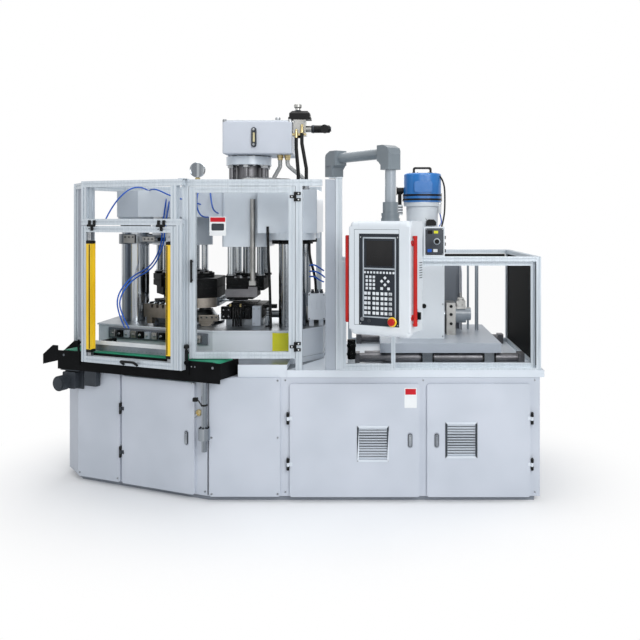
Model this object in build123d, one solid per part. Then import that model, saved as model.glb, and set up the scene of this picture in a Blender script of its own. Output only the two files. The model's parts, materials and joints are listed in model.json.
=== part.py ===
"""Three-station injection blow moulding machine.

The origin is on the floor under the axis of the index head. +Z is up, the operator stands on the -Y side
and the injection unit lies towards +X. All sizes are in millimetres.
"""

from build123d import *
from math import cos, radians, sin
import os

# Plan of the base cabinet, measured from the index axis
FRONT_REACH = 640.0
BACK_REACH = 480.0
RIGHT_REACH = 2271.0
CORNER_X = 214.0
FACE_ANGLE = 22.6
FACE_LENGTH = 1031.0
SIDE_ANGLE = 53.0
SIDE_LENGTH = 219.0
BACK_LEFT_X = -690.0

# Heights
PLINTH_HEIGHT = 35.0
PLINTH_INSET = 30.0
BASE_TOP = 772.0
WORKTOP_THICKNESS = 43.0
WORKTOP_OVERHANG = 26.0
WORKTOP_LEFT = 704.0
DECK_TOP = 848.0
TABLE_TOP = 1030.0
FRAME_TOP = 1997.0
RIGHT_FRAME_TOP = 1518.0

# Sheet metal and doors
SHEET = 3.0
DOOR_DEPTH = 18.0
DOOR_GAP = 1.0
DOOR_TOP = 732.0
DOOR_CORNER = 14.0
HINGE_OFFSET = 10.0
HINGE_PROUD = 5.0
HINGE_PIN = 4.0
HINGE_CLEARANCE = 0.05
HINGE_WALL = 4.0
HINGE_HEIGHT = 70.0
LATCH_WIDTH = 26.0
LATCH_HEIGHT = 84.0

# Aluminium profile
PROFILE = 40.0
SLOT_WIDTH = 8.0
SLOT_DEPTH = 5.0
LIGHT_PROFILE = 30.0
PANE = 4.0

# Discharge corner
GATE_INNER = 72.0
GATE_LEFT = 905.0
GATE_RIGHT = 156.0
GATE_BOTTOM = 822.0
GATE_TOP = 1706.0
GATE_SEAM = 6.0
GUARD_POST_BOTTOM = 930.0
STOP_POST_U = 134.0

# Conveyor, along the angled face
CONVEYOR_OUTER = 66.0
CONVEYOR_WIDTH = 200.0
CONVEYOR_START = -131.0
CONVEYOR_END = 1151.0
CONVEYOR_BOTTOM = 750.0
BELT_TOP = 878.0
BELT_THICKNESS = 3.0
ROLLER_RADIUS = 30.0
ROLLER_INSET = 52.0
PLATE = 6.0
RUNNING_GAP = 0.3

# Centre guard door
DOOR_LEFT = 97.0
DOOR_RIGHT = 754.0
CENTRE_DOOR_BOTTOM = 886.0
CENTRE_SEAM = 3.0

# Index head
HEAD_INRADIUS = 170.0
HEAD_VERTEX = 226.0
HEAD_LIFT = 25.0
CORE_SEAT = 6.0
PARTING_RISE = 135.0
PARTING = TABLE_TOP + PARTING_RISE
CORE_HEIGHT = PARTING + HEAD_LIFT
HEAD_PLATE = 65.0
HEAD_BLOCK = 130.0
HEAD_BOTTOM = CORE_HEIGHT - 40.0
HEAD_SEAM = HEAD_BOTTOM + HEAD_PLATE
HEAD_TOP = HEAD_SEAM + HEAD_BLOCK
SHAFT_RADIUS = 55.0
CORE_COUNT = 5
CORE_PITCH = 50.0
CORE_RADIUS = 8.0
CORE_LENGTH = 180.0
CORE_BAR = 15.0

# Stations
STATION_IN = 240.0
STATION_OUT = 492.0
STATION_HALF = 190.0
MOULD_OPEN = 40.0
CAVITY_RADIUS = 14.0
DIE_PLATE = 45.0
MOULD_HEIGHT = 60.0
PLATEN_THICKNESS = 85.0
PLATEN_BOTTOM = PARTING + MOULD_OPEN + MOULD_HEIGHT
PLATEN_TOP = PLATEN_BOTTOM + PLATEN_THICKNESS
GUIDE_RADIUS = 25.0
GUIDE_X = 100.0
GUIDE_Y = 140.0
SLIDING_CLEARANCE = 0.05
HOUSING_BOTTOM = 1562.0
HOUSING_TOP = 1946.0
HOUSING_LENGTH = 314.0
HOUSING_HALF = 190.0

# Columns of the press
COLUMN_RADIUS = 93.0
COLUMN_FRONT = (692.0, -200.0)
COLUMN_BACK = (690.0, 200.0)
COLUMN_LEFT = (-463.0, 102.0)
COLUMN_COLLAR = 122.0
CASTING_BOTTOM = 1657.0
CASTING_RIGHT = 866.0
CASTING_HALF = 320.0
NUT_RADIUS = 138.0
NUT_HEIGHT = 27.0
FLANGE_RADIUS = 156.0
FLANGE_HEIGHT = 45.0

# Prefill tank
NECK_TOP = 2125.0
TANK_FLANGE_RADIUS = 158.0
TANK_BOTTOM = 2190.0
TANK_TOP = 2412.0
TANK_LEFT = 222.0
TANK_RIGHT = 691.0
TANK_FRONT = -230.0
TANK_BACK = 170.0

# Injection unit
RAIL_Y = 404.0
RAIL_RADIUS = 29.0
RAIL_RISE = RAIL_RADIUS + 7.0
RAIL_HEIGHT = BASE_TOP + WORKTOP_THICKNESS + RAIL_RISE
RAIL_LEFT = 1110.0
RAIL_RIGHT = RIGHT_REACH - 56.0
SLAB_LENGTH = 782.0
SLAB_RIGHT = RIGHT_REACH - 206.0
SLAB_LEFT = SLAB_RIGHT - SLAB_LENGTH
SLAB_HALF = 444.0
SLAB_BOTTOM = RAIL_HEIGHT + RAIL_RADIUS + 7.0
SLAB_TOP = SLAB_BOTTOM + 62.0
INJECTION_AXIS = SLAB_TOP + 136.0
BARREL_RADIUS = 50.0
SCREW_RADIUS = 20.0
BARREL_START = 640.0
COVER_LEFT = SLAB_LEFT + 135.0
COVER_RIGHT = COVER_LEFT + 298.0
COVER_HALF = 250.0
COVER_TOP = INJECTION_AXIS + 372.0
BARREL_END = COVER_LEFT + 82.0
HOPPER_X = COVER_LEFT + 164.0
BEARING_LENGTH = 84.0
BEARING_STARTS = (SLAB_LEFT + 264.0, SLAB_RIGHT - 118.0)

# Pendant and arm
POST_X = 1025.0
DROP_X = 1336.0
DROP_Y = -1040.0
ARM_RISE = 129.0
ARM_HEIGHT = FRAME_TOP + ARM_RISE
ARM_RADIUS = 31.0
PENDANT_YAW = 27.0
PENDANT_WIDTH = 380.0
PENDANT_BOTTOM = 1105.0
PENDANT_TOP = 1740.0
PENDANT_FRONT = 148.0
PENDANT_RIM = 62.0
CABINET_DEPTH = 150.0


def block(x0, x1, y0, y1, z0, z1):
    """A box between two corners."""
    centre = ((x0 + x1) / 2, (y0 + y1) / 2, (z0 + z1) / 2)
    return Pos(*centre) * Box(x1 - x0, y1 - y0, z1 - z0)


def rod(start, end, radius):
    """A round bar between two points."""
    a, b = Vector(*start), Vector(*end)
    plane = Plane(origin=a, z_dir=b - a)
    return extrude(plane * Circle(radius), (b - a).length)


def pipe(start, end, radius, bore):
    """A round tube between two points."""
    return rod(start, end, radius) - rod(start, end, bore)


def prism(points, z0, z1):
    """A plate with a straight-sided plan."""
    outline = make_face(Polyline(*points, close=True))
    return Pos(0, 0, z0) * extrude(outline, z1 - z0)


def bar(start, end, size=PROFILE, across=(0, 0, 1)):
    """A slotted aluminium profile bar; across is a direction along one of its faces."""
    a, b = Vector(*start), Vector(*end)
    section = Rectangle(size, size)
    for turn in range(4):
        slot = Pos(size / 2 - SLOT_DEPTH / 2, 0) * Rectangle(SLOT_DEPTH, SLOT_WIDTH)
        section -= Rot(0, 0, 90 * turn) * slot
    plane = Plane(origin=a, x_dir=Vector(*across), z_dir=b - a)
    return extrude(plane * section, (b - a).length)


def face_point(u, v, z=0.0):
    """A point by the angled face: u along it from the front corner, v outward from it."""
    c, s = cos(radians(FACE_ANGLE)), sin(radians(FACE_ANGLE))
    return (CORNER_X - c * u - s * v, -FRONT_REACH + s * u - c * v, z)


def face_block(u0, u1, v0, v1, z0, z1):
    """A box square to the angled face."""
    centre = face_point((u0 + u1) / 2, (v0 + v1) / 2, (z0 + z1) / 2)
    return Pos(*centre) * Rot(0, 0, -FACE_ANGLE) * Box(abs(u1 - u0), abs(v1 - v0), z1 - z0)


FACE_DIRECTION = (-cos(radians(FACE_ANGLE)), sin(radians(FACE_ANGLE)), 0.0)
LEFT_FRONT = face_point(FACE_LENGTH, 0)[:2]
LEFT_CORNER = (
    LEFT_FRONT[0] - SIDE_LENGTH * cos(radians(SIDE_ANGLE)),
    LEFT_FRONT[1] + SIDE_LENGTH * sin(radians(SIDE_ANGLE)),
)
FOOTPRINT = [
    (RIGHT_REACH, -FRONT_REACH),
    (CORNER_X, -FRONT_REACH),
    LEFT_FRONT,
    LEFT_CORNER,
    (BACK_LEFT_X, BACK_REACH),
    (RIGHT_REACH, BACK_REACH),
]
WORKTOP_TOP = BASE_TOP + WORKTOP_THICKNESS
TABLE_CORNERS = [
    (198.0, -442.0),
    (720.0, -442.0),
    (907.0, -225.0),
    (907.0, 460.0),
    (-640.0, 460.0),
    (-675.0, -75.0),
]


def on_line(y, a, b):
    """The point at height y of the line through two plan points."""
    return (a[0] + (b[0] - a[0]) * (y - a[1]) / (b[1] - a[1]), y)


def plinth():
    """The recessed kick plinth that the cabinet stands on."""
    outer = make_face(Polyline(*FOOTPRINT, close=True))
    outer = offset(outer, -PLINTH_INSET, kind=Kind.INTERSECTION)
    inner = offset(outer, -SHEET, kind=Kind.INTERSECTION)
    return extrude(outer - inner, PLINTH_HEIGHT)


RIGHT_DOOR = (RIGHT_REACH - 700.0, RIGHT_REACH - 63.0)
MIDDLE_DOOR = (723.0, RIGHT_DOOR[0] - 46.0)
SERVICE_DOOR = (89.0, 652.0)
DOOR_LIP = 22.0
FACE_COVER = (674.0, 1024.0)
FRONT_COVER = (226.0, 662.0)


def wall(x0, x1, z0, z1):
    """A sheet strip of the front wall."""
    return block(x0, x1, -FRONT_REACH, -FRONT_REACH + SHEET, z0, z1)


def face_wall(u0, u1, z0, z1):
    """A sheet strip of the angled wall."""
    return face_block(u0, u1, -SHEET, 0, z0, z1)


def base_cabinet():
    """Floor, top and wall sheets of the cabinet; the walls leave an opening behind each door."""
    floor = prism(FOOTPRINT, PLINTH_HEIGHT, PLINTH_HEIGHT + SHEET)
    top = prism(FOOTPRINT, BASE_TOP - SHEET, BASE_TOP)
    low, high = PLINTH_HEIGHT + SHEET, BASE_TOP - SHEET
    corner_gap = 4.0
    left = CORNER_X + corner_gap
    sill, head = low + DOOR_LIP, DOOR_TOP - DOOR_LIP
    openings = [
        (MIDDLE_DOOR[0] + DOOR_LIP, MIDDLE_DOOR[1] - DOOR_LIP),
        (RIGHT_DOOR[0] + DOOR_LIP, RIGHT_DOOR[1] - DOOR_LIP),
    ]
    sheets = [floor, top]
    stiles = [left, openings[0][0], openings[0][1], openings[1][0], openings[1][1], RIGHT_REACH]
    for start, end in zip(stiles[::2], stiles[1::2]):
        sheets.append(wall(start, end, low, high))
    for start, end in openings:
        sheets.append(wall(start, end, low, sill))
        sheets.append(wall(start, end, head, high))
    u0, u1 = SERVICE_DOOR[0] + DOOR_LIP, SERVICE_DOOR[1] - DOOR_LIP
    sheets.append(face_wall(corner_gap, u0, low, high))
    sheets.append(face_wall(u1, FACE_LENGTH - corner_gap, low, high))
    sheets.append(face_wall(u0, u1, low, sill))
    sheets.append(face_wall(u0, u1, head, high))
    back = block(BACK_LEFT_X + corner_gap, RIGHT_REACH, BACK_REACH - SHEET, BACK_REACH, low, high)
    side_start = -FRONT_REACH + SHEET
    right = block(RIGHT_REACH - SHEET, RIGHT_REACH, side_start, BACK_REACH - SHEET, low, high)
    sheets += [back, right]
    for a, b in ((LEFT_FRONT, LEFT_CORNER), (LEFT_CORNER, FOOTPRINT[4])):
        sheets.append(side_sheet(a, b, low, high, corner_gap))
    return sheets


def side_sheet(a, b, z0, z1, gap):
    """A wall sheet inside the line between two plan corners, short of both by a gap."""
    start, end = Vector(*a), Vector(*b)
    along = (end - start).normalized()
    inward = Vector(-along.Y, along.X) * -1
    p, q = start + along * gap, end - along * gap
    corners = [p, q, q + inward * SHEET, p + inward * SHEET]
    return prism([(c.X, c.Y) for c in corners], z0, z1)


def pan(width, height, depth):
    """A folded door or cover: a skin with its edges turned back, skin towards -Y."""
    body = Box(width, depth, height)
    body = fillet(body.edges().filter_by(Axis.Y), DOOR_CORNER)
    hollow = Pos(0, SHEET / 2, 0) * Box(width - 2 * SHEET, depth - SHEET, height - 2 * SHEET)
    return body - hollow


COVER_DEPTH = 14.0


def cover_panels():
    """The screwed covers beside the doors, on the angled face and on the front."""
    low, high = PLINTH_HEIGHT, BASE_TOP - 4
    height, middle = high - low, (low + high) / 2
    width = FACE_COVER[1] - FACE_COVER[0]
    place = face_point(sum(FACE_COVER) / 2, COVER_DEPTH / 2, middle)
    angled = Pos(*place) * Rot(0, 0, -FACE_ANGLE) * pan(width, height, COVER_DEPTH)
    x = sum(FRONT_COVER) / 2
    front = Pos(x, -FRONT_REACH - COVER_DEPTH / 2, middle) * pan(
        FRONT_COVER[1] - FRONT_COVER[0], height, COVER_DEPTH
    )
    return [angled, front]


def hinge_parts(z):
    """The fixed and moving halves of a pin hinge at the local origin; the door lies towards +X."""
    radius = HINGE_PIN + HINGE_WALL
    third = HINGE_HEIGHT / 3
    depth = DOOR_DEPTH + DOOR_GAP + HINGE_PROUD
    pin = rod((0, 0, z - HINGE_HEIGHT / 2), (0, 0, z + HINGE_HEIGHT / 2), HINGE_PIN)
    ends = []
    for low in (z - HINGE_HEIGHT / 2, z + HINGE_HEIGHT / 2 - third):
        ends.append(rod((0, 0, low), (0, 0, low + third), radius))
        ends.append(block(-radius - 2, 0, 0, depth, low, low + third))
    fixed = pin + ends[0] + ends[1] + ends[2] + ends[3]
    gap = 0.5
    low, high = z - third / 2 + gap, z + third / 2 - gap
    knuckle = rod((0, 0, low), (0, 0, high), radius)
    leaf = block(0, HINGE_OFFSET + 16, HINGE_PROUD - 3, HINGE_PROUD, low, high)
    bore = rod((0, 0, low - 1), (0, 0, high + 1), HINGE_PIN + HINGE_CLEARANCE)
    return fixed, knuckle + leaf - bore


def hinge_line(heights, place):
    """Fixed and moving hinge halves at each height, moved to their door's edge."""
    fixed, moving = [], []
    for z in heights:
        a, b = hinge_parts(z)
        fixed.append(place * a)
        moving.append(place * b)
    return fixed, moving


DOOR_BOTTOM = PLINTH_HEIGHT
HINGE_DEPTH = DOOR_DEPTH + DOOR_GAP + HINGE_PROUD


def mirrored(solids, plane):
    """Copies of some solids on the other side of a plane."""
    return [mirror(s, plane) for s in solids]


SERVICE_HINGE_U = SERVICE_DOOR[1] + HINGE_OFFSET
MIDDLE_HINGE_X = MIDDLE_DOOR[0] - HINGE_OFFSET
RIGHT_HINGE_X = RIGHT_DOOR[1] + HINGE_OFFSET
HINGE_HEIGHTS = (237.0, 520.0)


def cabinet_doors():
    """The three cabinet doors with their moving hinge leaves, and the fixed hinge halves."""
    height, middle = DOOR_TOP - DOOR_BOTTOM, (DOOR_TOP + DOOR_BOTTOM) / 2
    v = DOOR_GAP + DOOR_DEPTH / 2
    hinges = []
    hinge_y = -FRONT_REACH - HINGE_DEPTH

    fixed, moving = hinge_line(HINGE_HEIGHTS, Pos(MIDDLE_HINGE_X, hinge_y, 0))
    door = Pos(sum(MIDDLE_DOOR) / 2, -FRONT_REACH - v, middle) * pan(
        MIDDLE_DOOR[1] - MIDDLE_DOOR[0], height, DOOR_DEPTH
    )
    hinges += fixed
    middle_door = [door - vent_hole(MIDDLE_VENT)] + moving

    fixed, moving = hinge_line(HINGE_HEIGHTS, Pos(0, hinge_y, 0))
    door = Pos(sum(RIGHT_DOOR) / 2, -FRONT_REACH - v, middle) * pan(
        RIGHT_DOOR[1] - RIGHT_DOOR[0], height, DOOR_DEPTH
    )
    flip = Pos(RIGHT_HINGE_X, 0, 0)
    hinges += [flip * s for s in mirrored(fixed, Plane.YZ)]
    right_door = [door - vent_hole(RIGHT_VENT)] + [flip * s for s in mirrored(moving, Plane.YZ)]

    place = Pos(*face_point(SERVICE_HINGE_U, HINGE_DEPTH)) * Rot(0, 0, -FACE_ANGLE)
    fixed, moving = hinge_line(HINGE_HEIGHTS, place)
    place = Pos(*face_point(sum(SERVICE_DOOR) / 2, v, middle)) * Rot(0, 0, -FACE_ANGLE)
    door = place * pan(SERVICE_DOOR[1] - SERVICE_DOOR[0], height, DOOR_DEPTH)
    hinges += fixed
    return hinges, [door] + moving, middle_door, right_door


VENT_WIDTH = 198.0
VENT_HEIGHT = 223.0
MIDDLE_VENT = (MIDDLE_DOOR[1] - 288.0, 364.0)
RIGHT_VENT = (RIGHT_DOOR[0] + 211.0, 386.0)
LOUVRES = 12
VENT_FLANGE = 10.0
VENT_CLEARANCE = 0.5


def vent_hole(centre):
    """The cut-out in a door for its louvred vent."""
    x, z = centre
    w = VENT_WIDTH / 2 - VENT_FLANGE + VENT_CLEARANCE
    h = VENT_HEIGHT / 2 - VENT_FLANGE + VENT_CLEARANCE
    y = -FRONT_REACH - DOOR_GAP - DOOR_DEPTH
    return block(x - w, x + w, y - 1, y + DOOR_DEPTH + 1, z - h, z + h)


def vent(centre):
    """A louvred vent: a rim with slanted slats, set in its door."""
    x, z = centre
    y = -FRONT_REACH - DOOR_GAP - DOOR_DEPTH
    w, h = VENT_WIDTH / 2, VENT_HEIGHT / 2
    inner_w, inner_h = w - VENT_FLANGE, h - VENT_FLANGE
    rim = block(x - w, x + w, y - 3, y, z - h, z + h)
    neck = block(x - inner_w, x + inner_w, y, y + 12, z - inner_h, z + inner_h)
    gap = 3.0
    hole = block(x - inner_w + gap, x + inner_w - gap, y - 4, y + 13, z - inner_h + gap, z + inner_h - gap)
    frame = rim + neck - hole
    pitch = 2 * (inner_h - gap) / LOUVRES
    slat_width = 2 * (inner_w - gap)
    for n in range(LOUVRES):
        middle = z - inner_h + gap + pitch * (n + 0.5)
        slat = Pos(x, y + 4, middle) * Rot(35, 0, 0) * Box(slat_width, 2, pitch)
        frame += slat
    return frame


def latch(place):
    """A swing-handle latch: an oval plate with a pin, and the paddle that turns on it."""
    thickness = 3.0
    pivot_z = LATCH_HEIGHT / 2 - LATCH_WIDTH / 2
    pin = extrude(Pos(pivot_z, 0) * Circle(3), thickness + 6)
    plate = extrude(SlotOverall(LATCH_HEIGHT, LATCH_WIDTH), thickness) + pin
    low = thickness + RUNNING_GAP
    paddle = Pos(0, 0, low) * extrude(SlotOverall(LATCH_HEIGHT - 8, LATCH_WIDTH - 8), 5)
    bore = Pos(pivot_z, 0, low - 1) * extrude(Circle(3 + HINGE_CLEARANCE), 8)
    turn = Plane(origin=(0, 0, 0), x_dir=(0, 0, 1), z_dir=(0, -1, 0)).location
    return place * turn * plate, place * turn * (paddle - bore)


LATCH_HEIGHT_Z = 385.0
SERVICE_LATCH_U = 146.0
MIDDLE_LATCH_X = MIDDLE_DOOR[1] - 59.0
RIGHT_LATCH_X = RIGHT_DOOR[0] + 59.0


def latches():
    """The latch of each door: a plate that stays on the door and a paddle that turns."""
    front = -FRONT_REACH - DOOR_GAP - DOOR_DEPTH
    service = Pos(*face_point(SERVICE_LATCH_U, DOOR_GAP + DOOR_DEPTH, LATCH_HEIGHT_Z))
    return (
        latch(service * Rot(0, 0, -FACE_ANGLE)),
        latch(Pos(MIDDLE_LATCH_X, front, LATCH_HEIGHT_Z)),
        latch(Pos(RIGHT_LATCH_X, front, LATCH_HEIGHT_Z)),
    )


def worktop():
    """The worktop of the injection side, notched round the press table."""
    front, back = -FRONT_REACH - 8, BACK_REACH + 8
    right = RIGHT_REACH + WORKTOP_OVERHANG
    points = [
        (WORKTOP_LEFT, front),
        (right, front),
        (right, back),
        (TABLE_CORNERS[3][0], back),
        TABLE_CORNERS[2],
        TABLE_CORNERS[1],
        (WORKTOP_LEFT, TABLE_CORNERS[1][1]),
    ]
    return prism(points, BASE_TOP, WORKTOP_TOP)


DECK_NOTCH_X = 400.0
DECK_MARGIN = 8.0


def deck_edge(x):
    """The point at x of the deck's slanted edge behind the conveyor."""
    a = face_point(0, CONVEYOR_OUTER - CONVEYOR_WIDTH - DECK_MARGIN)
    b = face_point(FACE_LENGTH, CONVEYOR_OUTER - CONVEYOR_WIDTH - DECK_MARGIN)
    return (x, a[1] + (b[1] - a[1]) * (x - a[0]) / (b[0] - a[0]))


def press_deck():
    """The raised deck that carries the press table, cut back behind the conveyor."""
    points = [
        (WORKTOP_LEFT, -FRONT_REACH),
        (DECK_NOTCH_X, -FRONT_REACH),
        deck_edge(DECK_NOTCH_X),
        deck_edge(LEFT_CORNER[0] + 14),
        (BACK_LEFT_X, BACK_REACH),
        (TABLE_CORNERS[3][0], BACK_REACH),
        TABLE_CORNERS[2],
        TABLE_CORNERS[1],
        (WORKTOP_LEFT, TABLE_CORNERS[1][1]),
    ]
    return prism(points, BASE_TOP, DECK_TOP)


def press_table():
    """The table plate on its pale skirt, a little wider than it all round."""
    plate_thickness = 10.0
    overhang = 8.0
    skirt = make_face(Polyline(*TABLE_CORNERS, close=True))
    skirt = offset(skirt, -overhang, kind=Kind.INTERSECTION)
    skirt = Pos(0, 0, DECK_TOP) * extrude(skirt, TABLE_TOP - plate_thickness - DECK_TOP)
    plate = prism(TABLE_CORNERS, TABLE_TOP - plate_thickness, TABLE_TOP)
    return skirt, plate


# Guard of the discharge corner
GATE_MIDDLE = GATE_INNER + PROFILE / 2
LEFT_POST = (-838.0, -4.0)
BACK_POST = (-645.0, 430.0)
FRONT_LINE = -FRONT_REACH + PROFILE / 2


def along_face(u0, u1, v, z, size=PROFILE):
    """A profile bar that runs along the angled face."""
    return bar(face_point(u0, v, z), face_point(u1, v, z), size)


def upright(u, v, z0, z1, size=PROFILE):
    """An upright profile bar square to the angled face."""
    return bar(face_point(u, v, z0), face_point(u, v, z1), size, FACE_DIRECTION)


def angled_guard():
    """Fixed bars over the discharge gate, with the stop post beside it and the corner posts."""
    half = PROFILE / 2
    top = FRAME_TOP - half
    rail_low = GATE_TOP + GATE_SEAM
    rail_high = rail_low + PROFILE
    left, right = GATE_LEFT, STOP_POST_U - half
    upper_right = GATE_RIGHT + half
    return [
        along_face(right, left, GATE_MIDDLE, top),
        along_face(right, left, GATE_MIDDLE, rail_low + half),
        upright(left - half, GATE_MIDDLE, rail_high, FRAME_TOP - PROFILE),
        upright(upper_right, GATE_MIDDLE, rail_high, FRAME_TOP - PROFILE),
        upright(STOP_POST_U, GATE_MIDDLE, GATE_BOTTOM, rail_low),
        upright(left - half, GATE_INNER - half, GUARD_POST_BOTTOM, FRAME_TOP),
    ]


def post(x, y, z0, z1, size=PROFILE):
    """An upright profile bar square to the machine's front."""
    return bar((x, y, z0), (x, y, z1), size, (1, 0, 0))


def rail(start, end, gap=0.0, size=PROFILE):
    """A level profile bar between two points, short of both by a gap."""
    a, b = Vector(*start), Vector(*end)
    step = (b - a).normalized() * gap
    p, q = a + step, b - step
    return bar(tuple(p), tuple(q), size)


GATE_CORNER = face_point(GATE_LEFT - PROFILE / 2, GATE_INNER - PROFILE / 2)[:2]


def post_reach(direction, turn=0.0):
    """How far the corner of a post, turned about its axis, reaches along a level direction."""
    turned = direction.rotate(Axis.Z, turn)
    return PROFILE / 2 * (abs(turned.X) + abs(turned.Y))


def sheet_reach(direction, turn=0.0):
    """How far from a post's axis a thin sheet along a level direction meets the post's side."""
    turned = direction.rotate(Axis.Z, turn)
    minor, major = sorted((abs(turned.X), abs(turned.Y)))
    return (PROFILE / 2 + SHEET / 2 * minor) / major


def between_posts(a, b, turn_a, reach):
    """The two ends of a piece that spans from one post, turned about its axis, to another."""
    start, end = Vector(*a), Vector(*b)
    along = (end - start).normalized()
    return start + along * reach(along, turn_a), end - along * reach(along)


def top_beam(a, b, turn_a=0.0):
    """A top beam between two posts."""
    top = FRAME_TOP - PROFILE / 2
    p, q = between_posts(a, b, turn_a, post_reach)
    return bar((p.X, p.Y, top), (q.X, q.Y, top))


def side_guard():
    """Posts and top beams of the left and back sides of the guard, with a joining plate at the front."""
    back_right = (CASTING_RIGHT - PROFILE, BACK_POST[1])
    left_x = DOOR_LEFT - CENTRE_SEAM - PROFILE
    plate = block(left_x - 14, left_x + 36, -FRONT_REACH - 50, -FRONT_REACH + 35, FRAME_TOP, FRAME_TOP + 4)
    return [
        post(*LEFT_POST, DECK_TOP, FRAME_TOP),
        post(*BACK_POST, TABLE_TOP, FRAME_TOP),
        post(*back_right, TABLE_TOP, FRAME_TOP),
        top_beam(GATE_CORNER, LEFT_POST, FACE_ANGLE),
        top_beam(LEFT_POST, BACK_POST),
        top_beam(BACK_POST, back_right),
        plate,
    ]


def side_panel():
    """The grey sheet between the gate's corner post and the left post, open below for the conveyor."""
    p, q = between_posts(GATE_CORNER, LEFT_POST, FACE_ANGLE, sheet_reach)
    along = (q - p).normalized()
    side = Vector(-along.Y, along.X) * (SHEET / 2)
    corners = [p + side, q + side, q - side, p - side]
    return prism([(c.X, c.Y) for c in corners], GUARD_POST_BOTTOM, FRAME_TOP - PROFILE)


def centre_guard():
    """Fixed bars round the centre guard door, on the machine's front line."""
    half = PROFILE / 2
    left_x = DOOR_LEFT - CENTRE_SEAM - half
    right_x = DOOR_RIGHT + CENTRE_SEAM + half
    end_x = POST_X - PROFILE - 64
    top = FRAME_TOP - half
    return [
        post(left_x, FRONT_LINE, GUARD_POST_BOTTOM, FRAME_TOP - PROFILE),
        post(right_x, FRONT_LINE, WORKTOP_TOP, FRAME_TOP - PROFILE),
        rail((left_x - half, FRONT_LINE, top), (end_x, FRONT_LINE, top)),
    ]


def frame_of_bars(x0, x1, z0, z1, y, size):
    """Four profile bars round an upright opening."""
    half = size / 2
    return [
        post(x0 + half, y, z0, z1, size),
        post(x1 - half, y, z0, z1, size),
        rail((x0 + size, y, z0 + half), (x1 - size, y, z0 + half), 0, size),
        rail((x0 + size, y, z1 - half), (x1 - size, y, z1 - half), 0, size),
    ]


CENTRE_DOOR_TOP = FRAME_TOP - PROFILE - CENTRE_SEAM
CENTRE_HINGES = (960.0, 1890.0)
CENTRE_HINGE_X = DOOR_RIGHT + CENTRE_SEAM / 2
CENTRE_HINGE_Y = -FRONT_REACH - 9.0


def plate_hinge(z, length=58.0, width=34.0, thickness=5.0):
    """Fixed and moving halves of a black plate hinge at the local origin; the door lies towards -X."""
    radius = HINGE_PIN + HINGE_WALL
    third = length / 3
    low, high = z - length / 2, z + length / 2
    surface = radius + 1.0
    pin = rod((0, 0, low), (0, 0, high), HINGE_PIN)
    fixed = pin
    for a in (low, high - third):
        fixed += rod((0, 0, a), (0, 0, a + third), radius)
        fixed += block(0, width, surface - thickness, surface, a, a + third)
    gap = 0.5
    a, b = low + third + gap, high - third - gap
    moving = rod((0, 0, a), (0, 0, b), radius) + block(-width, 0, surface - thickness, surface, a, b)
    moving -= rod((0, 0, a - 1), (0, 0, b + 1), HINGE_PIN + HINGE_CLEARANCE)
    return fixed, moving


def centre_door():
    """The glazed guard door in front of the press, with its fixed and moving hinge halves."""
    bars = frame_of_bars(
        DOOR_LEFT, DOOR_RIGHT, CENTRE_DOOR_BOTTOM, CENTRE_DOOR_TOP, FRONT_LINE, PROFILE
    )
    rim = PROFILE - SLOT_DEPTH
    pane = block(
        DOOR_LEFT + rim,
        DOOR_RIGHT - rim,
        FRONT_LINE - PANE / 2,
        FRONT_LINE + PANE / 2,
        CENTRE_DOOR_BOTTOM + rim,
        CENTRE_DOOR_TOP - rim,
    )
    fixed, moving = [], []
    for z in CENTRE_HINGES:
        a, b = plate_hinge(z)
        place = Pos(CENTRE_HINGE_X, CENTRE_HINGE_Y, 0)
        fixed.append(place * a)
        moving.append(place * b)
    return bars, pane, fixed, moving


def bar_handle(place, length=140.0, stand=28.0, radius=7.0):
    """A straight pull on two feet, upright, standing out towards -Y."""
    grip = rod((0, -stand, -length / 2), (0, -stand, length / 2), radius)
    for z in (-length / 2 + 12, length / 2 - 12):
        grip += rod((0, 0, z), (0, -stand, z), radius * 0.8)
    return place * grip


def gate():
    """The discharge gate: profile bars hung under the fixed rail, with hinge halves and D handle."""
    half = PROFILE / 2
    bars = [
        upright(GATE_LEFT - half, GATE_MIDDLE, GATE_BOTTOM, GATE_TOP),
        upright(GATE_RIGHT + half, GATE_MIDDLE, GATE_BOTTOM, GATE_TOP),
        along_face(GATE_RIGHT + PROFILE, GATE_LEFT - PROFILE, GATE_MIDDLE, GATE_BOTTOM + half),
        along_face(GATE_RIGHT + PROFILE, GATE_LEFT - PROFILE, GATE_MIDDLE, GATE_TOP - half),
    ]
    fixed, moving = [], []
    seam = GATE_TOP + GATE_SEAM / 2
    for u in (GATE_LEFT - 90, GATE_RIGHT + 110):
        a, b = plate_hinge(0)
        # The hinge is laid on its side: its door half hangs down from the seam
        lay = Plane(origin=(0, 0, 0), x_dir=(0, 0, 1), z_dir=(-1, 0, 0)).location
        spot = face_point(u, GATE_INNER + PROFILE + 9.0, seam)
        place = Pos(*spot) * Rot(0, 0, -FACE_ANGLE) * lay
        fixed.append(place * a)
        moving.append(place * b)
    spot = Pos(*face_point(505, GATE_INNER + PROFILE, GATE_BOTTOM + half))
    return bars, fixed, moving, spot * Rot(0, 0, -FACE_ANGLE) * bridge_handle(122.0, 34.0)


def bridge_handle(length, reach, radius=8.0, rise=12.0):
    """A black bridge handle that stands out towards -Y and rises from its two feet."""
    half = length / 2 - radius
    path = FilletPolyline(
        (-half, 0, -rise), (-half, -reach, rise), (half, -reach, rise), (half, 0, -rise), radius=14
    )
    grip = sweep(Plane(origin=path @ 0, z_dir=path % 0) * Circle(radius), path)
    # The feet are cut flush with the bar that carries them
    return grip - block(-length, length, 0, 40, -40, 40)


CURTAIN_BOTTOM = 888.0
CURTAIN_TOP = 1608.0
CURTAIN_WIDTH = 34.0
CURTAIN_DEPTH = 48.0


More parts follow.
